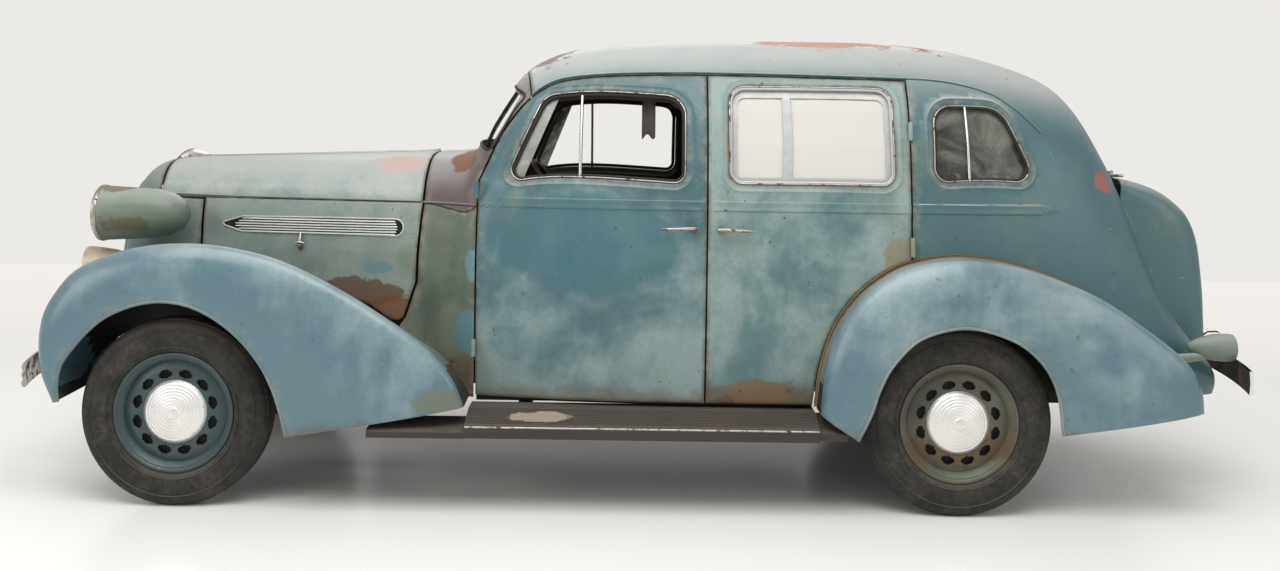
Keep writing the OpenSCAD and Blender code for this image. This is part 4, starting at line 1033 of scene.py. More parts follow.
def make_finishes():
    body = tuple(colours().body)
    faded = tuple(colours().faded)
    fender = tuple(colours().fender)
    FINISHES.shell = old_paint("shell_paint", body, faded, 0.66, 0.86, chalk_and_top_light=1.0, rust_below=300,
            tilt=(0, 0, 0.12), spots=[((3010, 0, 1822, 330, 420, 60, 0.5), RED_RUST),
            ((2550, -200, 1832, 420, 380, 50, 0.6), tone(172, 128, 112)),
            ((2600, 330, 1815, 380, 260, 60, 0.6), RED_RUST),
            ((3480, -330, 1430, 60, 160, 70, 0.5), RED_RUST),
            ((3590, -420, 1250, 60, 140, 60, 0.5), tone(150, 92, 84)),
            ((1330, -150, 1770, 120, 500, 80, 0.6), tone(124, 104, 102))], gloss=0.4)
    FINISHES.cowl_top = old_paint("cowl_top_paint", tone(88, 74, 74), tone(132, 124, 116), 0.45, 0.7,
            chalk_and_top_light=0.45, rust_below=200, spots=[((1040, -300, 1290, 80, 200, 60), RUST)])
    FINISHES.cowl = old_paint("cowl_paint", tone(84, 94, 82), tone(112, 116, 100), 0.42, 0.6, chalk_and_top_light=0.3,
            rust_below=560, green=0.8, spots=[((1075, -640, 640, 60, 200, 90), tone(84, 120, 126)),
            ((900, -500, 420, 160, 300, 130), tone(92, 74, 56)),
            ((1090, -650, 900, 30, 200, 60), tone(92, 128, 134))])
    FINISHES.front_door = old_paint("front_door_paint", body, faded, 0.24, 0.44, tilt=(-0.03, 0, -0.24),
            chalk_and_top_light=0.2, rust_below=440, rust_amount=0.8,
            deep_spots=[((1520, -720, 1010, 420, 300, 200, 0.3, 3), tone(56, 96, 104))])
    FINISHES.rear_door = old_paint("rear_door_paint", tone(74, 106, 108), tone(132, 150, 148), 0.56, 0.74,
            tilt=(-0.03, 0, 0.20), chalk_and_top_light=0.2, rust_below=470, rust_amount=1.3, green=0.5,
            spots=[((2210, -720, 430, 130, 200, 70, 0.5), tone(112, 92, 64)),
            ((2740, -740, 980, 70, 200, 60, 0.5), tone(128, 122, 98))])
    FINISHES.hood_side = old_paint("hood_side_paint", tone(104, 118, 112), tone(132, 142, 134), 0.36, 0.6,
            chalk_and_top_light=0.2, rust_below=330, green=0.7, deep_spots=[((700, -420, 870, 70, 200, 30, 0.5),
            tone(86, 122, 130))], spots=[((560, -420, 770, 320, 200, 55, 0.45), tone(92, 66, 48)),
            ((760, -440, 700, 110, 200, 60, 0.4), RUST)])
    FINISHES.hood_top = old_paint("hood_top_paint", tone(100, 122, 124), tone(158, 164, 156), 0.36, 0.6,
            chalk_and_top_light=0.75, rust_below=200, spots=[((760, -320, 1290, 130, 130, 60, 0.6), tone(184, 160, 150))])
    FINISHES.louvre = old_paint("louvre_paint", tone(172, 178, 166), tone(200, 202, 192), 0.4, 0.6, chalk_and_top_light=0.3,
                                rust_below=200, green=0.5, chips=0.3)
    FINISHES.nose = old_paint("nose_paint", tone(84, 104, 104), tone(124, 134, 126), 0.4, 0.62, chalk_and_top_light=0.4,
                              rust_below=600, green=0.7)
    FINISHES.fender = old_paint("fender_paint", fender, tone(134, 154, 158), 0.66, 0.86, tilt=(0, 0, 0.28),
            chalk_and_top_light=0.25, rust_below=330, gloss=0.27, coat=0.5, green=0.12, rim_dirt=0.6, chips=0.5,
            spots=[((1010, -800, 420, 110, 120, 50, 0.5), tone(104, 108, 92))])
    FINISHES.fender_edge = old_paint("fender_edge_paint", tone(92, 112, 118), tone(132, 140, 136), 0.4, 0.6,
            chalk_and_top_light=0.2, rust_below=330, chips=1.5)
    FINISHES.bar = dusty("grille_bar_metal", tone(34, 32, 30), tone(110, 104, 92), 0.5, 0.5, 40, 0.0004)
    FINISHES.fold = cloth("pale_folds", tone(196, 192, 182), tone(150, 144, 132), 500.0)
    FINISHES.trunk = old_paint("trunk_paint", tone(70, 98, 102), tone(104, 124, 126), 0.5, 0.75, chalk_and_top_light=0.5,
            rust_below=560, spots=[((3860, -60, 1250, 60, 130, 40, 0.5), RED_RUST),
            ((3790, 150, 1262, 90, 70, 30, 0.5), RED_RUST)])
    FINISHES.lamp = old_paint("lamp_paint", tone(94, 108, 98), tone(126, 134, 122), 0.4, 0.62, chalk_and_top_light=0.5,
            rust_below=200, green=0.9, spots=[((-300, -470, 1040, 120, 160, 40, 0.7), tone(96, 88, 64)),
            ((-300, 470, 1040, 120, 160, 40, 0.7), tone(96, 88, 64)),
            ((-330, -470, 1165, 90, 60, 30, 0.7), tone(112, 98, 80))])
    FINISHES.rim_blue = old_paint("wheel_blue_paint", tone(44, 62, 64), tone(72, 88, 86), 0.5, 0.7,
            chalk_and_top_light=0.1, rust_below=100, green=0.2, rim_dirt=0.2)
    FINISHES.rim_tan = old_paint("wheel_tan_paint", tone(58, 58, 48), tone(84, 76, 60), 0.4, 0.58,
            chalk_and_top_light=0.1, rust_below=100, green=0.4, rim_dirt=0.2,
            spots=[((2962, -780, 250, 240, 200, 60, 0.9), tone(88, 72, 54))])
    FINISHES.chrome = chrome("aged_chrome")
    FINISHES.bright = chrome("bright_caps", 0.34, 0.3, tone(236, 234, 231))
    FINISHES.old_chrome = chrome("eaten_chrome", 0.24, 0.6, tone(176, 172, 164), rust=0.35)
    FINISHES.strip = chrome("hood_strip_metal", 0.34, 0.5, tone(196, 196, 192))
    FINISHES.rubber = dusty("tyre_rubber", tone(30, 29, 28), tone(92, 87, 78), 0.6, 0.85, 55, 0.0008, 0.32,
            9.0)
    FINISHES.seal = dusty("window_seal", tone(16, 16, 16), tone(70, 66, 58), 0.35, 0.7)
    FINISHES.board = dusty("running_board_rubber", tone(52, 46, 42), tone(92, 84, 74), 0.6, 0.7, 40, 0.0006,
            0.0, patches=[((1400, -800, 352, 120, 40, 40, 0.5), tone(156, 144, 126))])
    FINISHES.black = dusty("chassis_black", tone(28, 26, 25), tone(88, 74, 58), 0.5, 0.8, 30, 0.001, 0.15)
    FINISHES.iron = iron("rusty_iron")
    FINISHES.iron_brown = iron("rusty_bumper", 1.0)
    FINISHES.engine = dusty("engine_grime", tone(52, 58, 56), tone(80, 66, 48), 0.8, 0.7, 25, 0.0012)
    FINISHES.inside = dusty("bare_lining", tone(52, 44, 38), tone(96, 82, 66), 0.5, 0.9, 30, 0.001, 0.1)
    FINISHES.dash = dusty("dashboard_paint", tone(68, 60, 50), tone(110, 98, 80), 0.5, 0.5, 60, 0.0003)
    FINISHES.wheel_plastic = dusty("steering_wheel_plastic", tone(38, 32, 28), tone(84, 74, 62), 0.4, 0.4,
            60, 0.0002)
    FINISHES.seat = cloth("seat_mohair", tone(108, 92, 72), tone(70, 58, 46))
    FINISHES.headliner = cloth("headliner_cloth", tone(48, 41, 34), tone(28, 24, 20), 500.0)
    FINISHES.card = dusty("blank_card", tone(198, 195, 189), tone(178, 172, 162), 0.5, 0.85, 8, 0.0002, 0.0,
            3.0)
    FINISHES.tape = dusty("grey_tape", tone(168, 170, 170), tone(204, 204, 200), 0.8, 0.45, 30, 0.0008, 0.2,
            14.0)
    FINISHES.glass = dirty_glass("vent_glass", tone(146, 150, 142), 0.5, 0.5)
    FINISHES.dark_glass = dirty_glass("quarter_glass", tone(46, 48, 46), 0.45, 0.42)
    FINISHES.windshield = dirty_glass("windshield_glass", tone(70, 76, 74), 0.3, 0.12)
    FINISHES.lens = dirty_glass("lamp_glass", tone(198, 200, 196), 0.3, 0.3)
    FINISHES.amber = dusty("small_lamp_shell", tone(206, 196, 182), tone(150, 132, 104), 0.7, 0.3, 30, 0.0003)
    FINISHES.tail_lens = dusty("red_tail_lens", tone(120, 22, 18), tone(80, 30, 26), 0.4, 0.25, 60, 0.0003)
    FINISHES.welt = dusty("fender_welt", tone(120, 104, 76), tone(84, 68, 50), 0.8, 0.85, 40, 0.0006)
    # near-black finish: painted shade for the dark space behind the hood louvres
    FINISHES.hole = dusty("dark_recess", tone(14, 13, 12), tone(34, 30, 26), 0.5, 0.95, 30)


class SEDAN_OT_finishes(bpy.types.Operator):
    """Make the sedan's materials"""
    bl_idname = "sedan.finishes"
    bl_label = "Finishes"

    def execute(self, context):
        make_finishes()
        return {"FINISHED"}


def rim_bar(name, loop, radius, material, body="body", out=1.0, both=False, depth=0.0, surface=body_surface):
    """A bead that follows a loop given in the surface's domain."""
    a = np.array(resample(loop, 16), float)
    points = surface(a[:, 0], a[:, 1], depth, depth)
    points = points + outward(surface, a[:, 0], a[:, 1]) * out
    return tube(name, points, radius, material, body, closed=True, both=both, sides=8)


def open_bar(name, path, radius, material, body="body", out=1.0, both=False, flat=1.0, sides=8):
    """A bead along an open path (x, z) on the body."""
    a = np.array(domain(path), float)
    points = body_surface(a[:, 0], a[:, 1]) + outward(body_surface, a[:, 0], a[:, 1]) * out
    return tube(name, points, radius, material, body, both=both, sides=sides, flat=flat)


class SEDAN_OT_shell(bpy.types.Operator):
    """Press the roof, the quarters and the tail as one skin, with the cowl before it"""
    bl_idname = "sedan.shell"
    bl_label = "Body shell"

    def execute(self, context):
        quarter = domain(QUARTER_WINDOW)
        panel("body_shell", shell_outline(), FINISHES.shell, [quarter], (0, 22), (0, 22), step(), join=True,
              replaces=["roof", "quarter_panels", "tail_panel"], slot="roof_paint")
        side = domain([(778, 384), (DOOR_FRONT - GAP, 384), (DOOR_FRONT - GAP, 1131)])
        upper = domain([(DOOR_FRONT - GAP, 1232), (1130.5, 1298), (1164.5, 1378), (1198.5, 1438),
                (1247, 1509), (1302, 1568)])
        belt_cowl = domain([(875, 1134)])
        side += belt_cowl + domain([(857, 816), (809, 672), (785, 640)])
        top = domain([(DOOR_FRONT - GAP, 1134)]) + upper + [(HEADER_X - 1, GIRTH),
                (875, GIRTH)] + domain([(875, 1137)])
        panel("cowl_side", side, FINISHES.cowl, (), (0, 12), (0, 12), step(), both=True, replaces=["cowl"])
        panel("cowl_top", top, FINISHES.cowl_top, [windshield_outline()], (0, 20), (0, 20), step(), join=True,
              bead=False, band=False)
        open_bar("cowl_belt_bead", [(x, 1135) for x in spaced(872, 1103, 20)], 5, FINISHES.cowl_top,
                both=True)
        open_bar("drip_rail", [rail(x, -8) for x in np.linspace(1310, 3328, 90)], 4.5, FINISHES.shell,
                both=True)
        rim_bar("quarter_window_trim", domain(grown(QUARTER_WINDOW, -3)), 3.2, FINISHES.old_chrome, out=-1,
                both=True)
        rim_bar("quarter_window_seal", domain(grown(QUARTER_WINDOW, -9)), 5, FINISHES.seal, out=-7, both=True)
        bar = [(3020, z) for z in np.linspace(1256, 1552, 12)]
        open_bar("quarter_window_bar", bar, 6, FINISHES.chrome, out=-7, both=True)
        windshield = windshield_outline()
        rim_bar("windshield_seal", windshield, 6, FINISHES.seal, out=-1, both=True)
        return {"FINISHED"}


# ---- doors ----

def door(name, outline, window, material, body, step_size):
    """A door: the skin with its rolled edge and window bead, and the dark lining behind it."""
    edge = domain(grown(outline, -GAP))
    opening = domain(window)
    skin_piece = panel(name + "_skin", edge, material, [opening], (0, 14), (0, 14), step_size, body=body)
    lining_edge = domain(grown(outline, -GAP - 14))
    lining = sheet(name + "_lining", lining_edge, FINISHES.inside, (13, 54), step_size * 1.6, body=body,
            slot=None, holes=[domain(grown(window, 9))])
    return skin_piece, lining


def handle(name, x, z, way, body, material):
    """A bar handle on a round boss; way is +1 where the grip points rearward."""
    y = -float(skin_y(x, z)) - 2
    made = [tube(name + "_post", [(x, y + 4, z), (x, y - 20, z), (x, y - 34, z + 1)], [15, 11, 9], material,
            body, 20)]
    path = [(x - way * 14, y - 34, z + 2)] + [(x + way * 130 * k, y - 34 - 7 * math.sin(math.pi * k),
            z + 2 - 4 * k) for k in (0.1, 0.3, 0.5, 0.7, 0.9, 1.0)]
    made.append(tube(name + "_grip", path, [6, 9, 8, 7, 7, 6, 3], material, body, 16, flat=0.8))
    return made


def hinge(name, low, high, length, body, material):
    """A plain barrel at each end of the door's hinge line; length is one barrel's."""
    low, high = np.array(low, float), np.array(high, float)
    half = (high - low) / np.linalg.norm(high - low) * length / 2
    return tuple(tube("%s_barrel_%d" % (name, i), [at - half, at + half], 9, material, body, 24)
                 for i, at in enumerate((low, high)))


class SEDAN_OT_doors(bpy.types.Operator):
    """Hang the four doors with their linings, handles, hinges and window frames"""
    bl_idname = "sedan.doors"
    bl_label = "Doors"

    def execute(self, context):
        front = door("front_door_left", FRONT_DOOR, FRONT_WINDOW, FINISHES.front_door, "front_door_left",
                step())
        rear = door("rear_door_left", REAR_DOOR, REAR_WINDOW, FINISHES.rear_door, "rear_door_left", step())
        front += tuple(handle("front_door_left_handle", 1952, 1067, -1, "front_door_left",
                FINISHES.old_chrome))
        rear += tuple(handle("rear_door_left_handle", 2056, 1064, 1, "rear_door_left", FINISHES.old_chrome))
        inner = domain(grown(FRONT_WINDOW, -4))
        front += (rim_bar("front_door_left_window_trim", inner, 3, FINISHES.old_chrome, "front_door_left",
                -1), rim_bar("front_door_left_window_seal", domain(grown(FRONT_WINDOW, -10)), 8,
                FINISHES.seal, "front_door_left", -14))
        vent = [(1510, z) for z in np.linspace(1243, 1578, 14)]
        front += (open_bar("front_door_left_vent_bar", vent, 6.5, FINISHES.chrome, "front_door_left",
                out=-12),)
        rear += (rim_bar("rear_door_left_window_trim", domain(grown(REAR_WINDOW, -4)), 3, FINISHES.old_chrome,
                         "rear_door_left", -1),
                 rim_bar("rear_door_left_window_seal", domain(grown(REAR_WINDOW, -9)), 6, FINISHES.tape,
                         "rear_door_left", -8))
        low, high = (1107, -658.45, 587), (1107, -624.06, 1197)
        front += hinge("front_door_left_hinge", low, high, 65, "front_door_left", FINISHES.front_door)
        low, high = (2791, -730.8, 1007), (2791, -658.0, 1451)
        rear += hinge("rear_door_left_hinge", low, high, 72, "rear_door_left", FINISHES.rear_door)
        for made in front + rear:
            body = "front_door_right" if made in front else "rear_door_right"
            copied(made, made.name.replace("_left", "_right"), body, across)
        for side in ("left", "right"):
            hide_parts("front_door_" + side)
            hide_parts("rear_door_" + side)
        return {"FINISHED"}


# ---- hood and nose ----

def hood_side_outline():
    rear = [(866, 1134), (846, 816), (798, 672), (775, 658)]
    return domain([(-53, 658), (-53, 1134)] + [(x, 1134) for x in (200, 450, 700)] + rear)


def hood_top_outline():
    low = domain([(x, 1137) for x in spaced(-256, 866, 60)])
    return low + at_width(np.linspace(866, -256, 24), 25.5)


def louvre(name, z0, z1, x0, x1, body):
    """One pressed slat, highest at its lower edge and fading out at both ends."""
    xs = np.linspace(x0, x1, 24)
    rings = []
    for x in xs:
        fade = min(1, (x - x0) / 60 + 0.05, (x1 - x) / 30 + 0.05)
        y = -float(skin_y(x, (z0 + z1) / 2))
        rings.append([(x, y + 1.5, z0), (x, y - 7.5 * fade, z0 + 0.8), (x, y - 6 * fade, (z0 + z1) / 2),
                      (x, y + 1.5, z1)])
    return loft(name, rings, FINISHES.louvre, body, smooth=40)


class SEDAN_OT_hood(bpy.types.Operator):
    """Shape the two hood halves, the centre strip, the louvres and the ornament"""
    bl_idname = "sedan.hood"
    bl_label = "Hood"

    def execute(self, context):
        top = panel("hood_left_top", hood_top_outline(), FINISHES.hood_top, (), (0, 9), (0, 9), step(),
                band=False, body="hood_left", roll=1.5, bump=self.lower_band)
        side = panel("hood_left_side", hood_side_outline(), FINISHES.hood_side, (), (0, 9), (0, 9), step(),
                     band=False, body="hood_left", roll=2.5)
        made = [top, side]
        path = [(x, 1137 + 6 * math.exp(-(x + 60) / 900)) for x in np.linspace(-250, 862, 60)]
        made.append(open_bar("hood_left_moulding", path, 4.2, FINISHES.strip, "hood_left", out=3, flat=0.7))
        frame_loop = hull_of_circles([(760, 1031, 34), (120, 1031, 30), (44, 1031, 8)])
        made.append(rim_bar("hood_left_louvre_frame", domain(frame_loop), 3.4, FINISHES.louvre, "hood_left",
                1.5))
        # a near-black sheet flush inside the louvre frame: painted shade standing in for the dark engine bay
        # between the slats
        made.append(sheet("hood_left_louvre_back", domain(grown(frame_loop, -4)), FINISHES.hole, (-1.2, 4),
                14, body="hood_left", slot=None))
        for i in range(6):
            z = 1003 + i * 10.4
            near = abs(i - 2.5) / 2.5
            made.append(louvre("hood_left_slat_%d" % i, z - 3.6, z + 4.2, 70 + 34 * near, 776 - 12 * near,
                    "hood_left"))
        y = -float(skin_y(369, 966)) - 2
        made.append(tube("hood_left_latch", [(369, y, 940), (369, y - 12, 948), (369, y - 13, 975),
                (369, y - 3, 1000)], [9, 10, 8, 4], FINISHES.old_chrome, "hood_left", 14))
        made.append(tube("hood_left_latch_pull", [(352, y - 16, 962), (369, y - 20, 964),
                (388, y - 15, 960)], [4, 6, 4], FINISHES.old_chrome, "hood_left", 12))
        for piece_made in made:
            copied(piece_made, piece_made.name.replace("_left", "_right"), "hood_right", across)
        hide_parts("hood_left")
        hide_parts("hood_right")
        self.strip()
        return {"FINISHED"}

    def lower_band(self, xs, points):
        """The hood top swells in a soft band just above its lower edge."""
        z = points[:, 2]
        return 2.6 * np.clip((z - 1142) / 8, 0, 1) * np.clip((1196 - z) / 22, 0, 1)

    def strip(self):
        xs = np.linspace(-258, 862, 70)
        rings = []
        for x in xs:
            top = float(skin(x, 1)[1])
            half = 22.5
            lift = 5 * max(0.0, (x - 820) / 42)
            rings.append([(x, -half, top - 12), (x, -half, top - 1 + lift), (x, -half + 5, top + 3 + lift),
                          (x, -4, top + 4 + lift), (x, 0, top + 6.5 + lift), (x, 4, top + 4 + lift),
                          (x, half - 5, top + 3 + lift), (x, half, top - 1 + lift), (x, half, top - 12)])
        loft("hood_centre_strip", rings, FINISHES.strip, smooth=45, replaces=["hood_strip"],
                slot="bright_trim")
        rings = []
        for k in np.linspace(0, 1, 20):
            x = -298 + 150 * k
            base = float(skin(x, 1)[1]) + 1
            tall = 2 + 34 * math.sin(math.pi * (0.12 + 0.88 * (1 - k)) ** 1.3)
            half = 3 + 9 * math.sin(math.pi * min(1, k * 0.9 + 0.1))
            rings.append([(x, -half, base), (x, -half * 0.8, base + tall * 0.5),
                    (x, -half * 0.3, base + tall * 0.9), (x, 0, base + tall),
                    (x, half * 0.3, base + tall * 0.9), (x, half * 0.8, base + tall * 0.5),
                    (x, half, base)])
        loft("hood_ornament", rings, FINISHES.old_chrome, smooth=50)


HEADLAMP_X, HEADLAMP_Y, HEADLAMP_Z = -418, 470, 1075
DRIVING_LAMP_X, DRIVING_LAMP_Y, DRIVING_LAMP_Z = -478, 450, 875


class SEDAN_OT_nose(bpy.types.Operator):
    """Turn the headlamps and the driving lamps and set them on their stands"""
    bl_idname = "sedan.nose"
    bl_label = "Lamps"

    def execute(self, context):
        rearward = (1, 0, 0)
        for side, sign in (("left", -1), ("right", 1)):
            head = (HEADLAMP_X, sign * HEADLAMP_Y, HEADLAMP_Z)
            driving = (DRIVING_LAMP_X, sign * DRIVING_LAMP_Y, DRIVING_LAMP_Z)
            profile = [(0, 352), (26, 348), (58, 328), (84, 285), (98, 225), (103, 150), (106, 80),
                    (109, 30), (110, 10), (108, 2), (101, 0), (97, 6), (92, 16), (70, 40), (0, 60)]
            spun("headlamp_shell_" + side, profile, head, rearward, FINISHES.lamp,
                 steps=sizes().wheel_steps, slot="fender_paint")
            spun("headlamp_ring_" + side, [(104, 22), (111, 20), (113, 12), (112, 4), (106, -1), (99, 0),
                    (98, 6), (104, 22)], head, rearward, FINISHES.old_chrome, steps=sizes().wheel_steps)
            spun("headlamp_lens_" + side, [(0, -1), (50, 1), (97, 6), (97, 9), (50, 4), (0, 2)],
                 head, rearward, FINISHES.lens, steps=sizes().wheel_steps)
            spun("driving_lamp_shell_" + side, [(0, 184), (12, 182), (34, 160), (50, 116), (58, 62),
                    (62, 20), (63, 6), (60, 0), (54, 4), (40, 30), (0, 40)], driving, rearward,
                    FINISHES.amber, steps=64)
            spun("driving_lamp_lens_" + side, [(0, 0), (54, 4), (54, 7), (0, 3)], driving, rearward,
                 FINISHES.lens, steps=64)
            tube("headlamp_stand_" + side, [(-278, sign * 420, 1037), (-262, sign * 330, 1010),
                    (-243, sign * 200, 975)], [30, 26, 24], FINISHES.lamp, sides=20)
        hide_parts("lamps")
        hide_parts("lamp_lenses")
        return {"FINISHED"}


# ---- wheels and tyres ----

def wheel(name, tyre_node, x, sign, material, body):
    """A pressed wheel with a dozen openings round a plain cap, and its ribbed tyre."""
    centre = (x, sign * TRACK / 2, WHEEL_Z)
    axis = (0, sign, 0)
    turns = sizes().wheel_steps
    radius, half = 354, 79
    outer = [(223, half * 0.72), (232, half * 0.86), (262, half * 0.99), (292, half), (318, half * 0.93),
             (334, half * 0.84), (343, half * 0.74), (348, half * 0.6)]
    ribs = []
    for k in range(5):
        y = half * (0.50 - 0.25 * k)
        ribs += [(352 + 1.5 * (k == 2), y + half * 0.08), (353.5, y), (352, y - half * 0.08)]
        if k < 4:
            ribs += [(345, y - half * 0.1), (345, y - half * 0.15)]
    profile = outer + ribs + [(r, -h) for r, h in reversed(outer)] + [(216, -half * 0.62), (216, half * 0.62)]
    profile = [(min(r, radius - 0.5), h) for r, h in profile]
    profile.append(profile[0])
    spun(name + "_tyre", profile, centre, axis, FINISHES.rubber, body, turns * 2, 40, [tyre_node],
            "tyre")
    # two raised rings on the side wall
    for k, (r, h) in enumerate(((248, half * 0.945), (312, half * 0.965))):
        ring = [(r - 2.6, h - 1), (r, h + 2.4), (r + 2.6, h - 1), (r, h - 3), (r - 2.6, h - 1)]
        spun("%s_wall_ring_%d" % (name, k), ring, centre, axis, FINISHES.rubber, body, turns)
    rim = [(223, 62), (226, 66), (223, 69), (215, 68), (207, 58), (199, 50), (196, 42), (194, 10),
            (194, -40), (200, -52), (214, -60), (223, -66), (219, -60), (210, -52), (198, -48), (190, -38),
            (188, 10), (190, 40), (195, 50), (206, 62), (217, 64), (223, 62)]
    spun(name + "_rim", rim, centre, axis, material, body, turns, 35, ["wheel_" + name], "wheel_paint")
    disc(name, centre, sign, material, body)
    spun(name + "_drum", [(0, 26), (150, 26), (183, 22), (186, 14), (186, -20), (0, -20)], centre, axis,
            FINISHES.black, body, 64)
    cap = [(0, 76), (12, 75.6), (20, 73.5), (22, 71.5), (27, 72)]
    cap += [(27 + 84 * k / 60, 72 - 17 * (k / 60) ** 2 + 0.8 * math.cos(k * math.pi / 4)) for k in range(1,
            61)]
    cap += [(113, 52), (119, 46), (122, 41), (119, 39), (0, 44)]
    spun(name + "_cap", cap, centre, axis, FINISHES.bright, body, turns, 30, (), "bright_trim")


def disc(name, centre, sign, material, body):
    """The dished disc with twelve openings between the cap and the rim."""
    holes = 12
    turns = 144
    radii = [118, 124, 129, 133, 138, 143, 148, 153, 158, 163, 167, 174, 182, 192, 197]
    heights = [44, 45, 46, 47.2, 47.8, 48, 48, 48, 47.4, 46.6, 45, 43, 39, 36, 36]

    def opened(r, angle):
        part = (angle * holes / (2 * math.pi)) % 1 - 0.5
        along = part * 2 * math.pi * r / holes
        return (along / 25) ** 2 + ((r - 147) / 17) ** 2 < 1
    points = []
    front, back = {}, {}
    for i, r in enumerate(radii):
        for j in range(turns):
            a = 2 * math.pi * j / turns
            for table, drop in ((front, 0), (back, 5)):
                table[i, j] = len(points)
                points.append((centre[0] + r * math.cos(a), centre[1] + sign * (heights[i] - drop),
                               centre[2] + r * math.sin(a)))
    solid = {(i, j) for i in range(len(radii) - 1) for j in range(turns)
             if not opened((radii[i] + radii[i + 1]) / 2, 2 * math.pi * (j + 0.5) / turns)}
    faces = []
    for i, j in solid:
        k = (j + 1) % turns
        quad = [(i, j), (i + 1, j), (i + 1, k), (i, k)]
        faces.append(tuple(front[q] for q in quad))
        faces.append(tuple(back[q] for q in reversed(quad)))
        for a, b, other in ((quad[0], quad[1], (i, (j - 1) % turns)), (quad[1], quad[2], (i + 1, j)),
                            (quad[2], quad[3], (i, k)), (quad[3], quad[0], (i - 1, j))):
            if other not in solid:
                faces.append((front[b], front[a], back[a], back[b]))
    made = piece(name + "_disc", points, faces, material, body, smooth=40, slot="wheel_paint")
    mesh = bmesh.new()
    mesh.from_mesh(made.data)
    bmesh.ops.delete(mesh, geom=[v for v in mesh.verts if not v.link_faces], context="VERTS")
    bmesh.ops.recalc_face_normals(mesh, faces=mesh.faces)
    mesh.to_mesh(made.data)
    mesh.free()
    return made


class SEDAN_OT_wheels(bpy.types.Operator):
    """Turn the four wheels, their tyres, rims, discs and caps"""
    bl_idname = "sedan.wheels"
    bl_label = "Wheels"

    def execute(self, context):
        for end, x, paint in (("front", 0, FINISHES.rim_blue), ("rear", REAR_AXLE, FINISHES.rim_tan)):
            for side, sign in (("left", -1), ("right", 1)):
                name = "%s_%s" % (end, side)
                wheel(name, "tyre_" + name, x, sign, paint, "wheel_" + name)
        return {"FINISHED"}


class SEDAN_OT_frame_paint(bpy.types.Operator):
    """Paint the frame's own parts that no modelled piece stands for"""
    bl_idname = "sedan.frame_paint"
    bl_label = "Frame finishes"

    def execute(self, context):
        finish = {FINISHES.black: "chassis_frame front_axle rear_axle driveshaft fuel_tank knuckle_left "
                                  "knuckle_right wheel_houses body_floor radiator steering_column",
                  FINISHES.iron: "exhaust tie_rod", FINISHES.engine: "engine", FINISHES.dash: "dashboard",
                  FINISHES.wheel_plastic: "steering_wheel", FINISHES.dark_glass: "body_glass",
                  FINISHES.windshield: "windshield_glass", FINISHES.glass: "rear_door_right_glass",
                  FINISHES.card: "rear_door_left_card"}
        for material, names in finish.items():
            for name in names.split():
                node = bpy.data.objects[name]
                if not node.material_slots:
                    node.data.materials.append(material)
                for slot in node.material_slots:
                    slot.material = material
        return {"FINISHED"}


# ---- fenders and running boards ----

FRONT_ROWS = [(-398, 405, -426, 397, -395, 425, 560), (-402, 470, -478, 500, -385, 515, 480),
        (-388, 540, -495, 610, -362, 575, 420), (-345, 605, -483, 715, -330, 592, 372),
        (-290, 668, -440, 800, -290, 598, 345), (-220, 724, -367, 884, -230, 600, 330),
        (-120, 766, -250, 942, -150, 600, 341), (-20, 780, -100, 980, -60, 600, 367),
        (80, 765, 60, 990, 60, 600, 391), (180, 717, 220, 975, 220, 600, 412),
        (270, 645, 400, 930, 400, 600, 436), (345, 555, 600, 838, 600, 600, 462),
        (395, 460, 780, 730, 780, 590, 484), (425, 370, 940, 615, 935, 560, 545),
        (438, 320, 1045, 500, 1040, 470, 592), (445, 285, 1094, 392, 1090, 398, 612)]
REAR_LIP = [(2566, 300), (2614, 400), (2640, 480), (2684, 570), (2764, 660), (2852, 705), (2962, 724),
        (3062, 708), (3160, 670), (3236, 610), (3285, 540), (3310, 470), (3320, 410), (3324, 370),
        (3328, 345), (3332, 330)]
LIP_Y = 873
CROWN_Y = 800


def rear_rows():
    rows = []
    for lip, top in zip(REAR_LIP, REAR_CROWN):
        z = max(top[1], float(curve(FOOT, top[0])) + 6)
        rows.append((*lip, *top, top[0], z, float(skin_y(top[0], z)) + 2.5))
    return rows


def fender_ring(row, depth):
    """One section of a fender from the arch lip over the crown to the body."""
    lip = np.array(row[:2])
    v = np.array(row[2:4]) - lip
    top = lip + v * (1 - depth / np.linalg.norm(v))
    inner = np.array([row[4], row[5] - depth])
    points = []
    for a in np.linspace(0, math.pi / 2, 18):
        g = lip + (top - lip) * math.sin(a) ** 0.85
        bulge = 7 * math.sin(min(a * 3, math.pi)) if a < math.pi / 3 else 0
        y = CROWN_Y + (LIP_Y - depth - CROWN_Y) * max(math.cos(a), 0) ** 0.75 + bulge
        points.append((g[0], -y, g[1]))
    for u in np.linspace(0, 1, 15)[1:]:
        g = top + (inner - top) * u ** 1.3
        points.append((g[0], -(CROWN_Y + (row[6] - CROWN_Y) * u), g[1]))
    return points


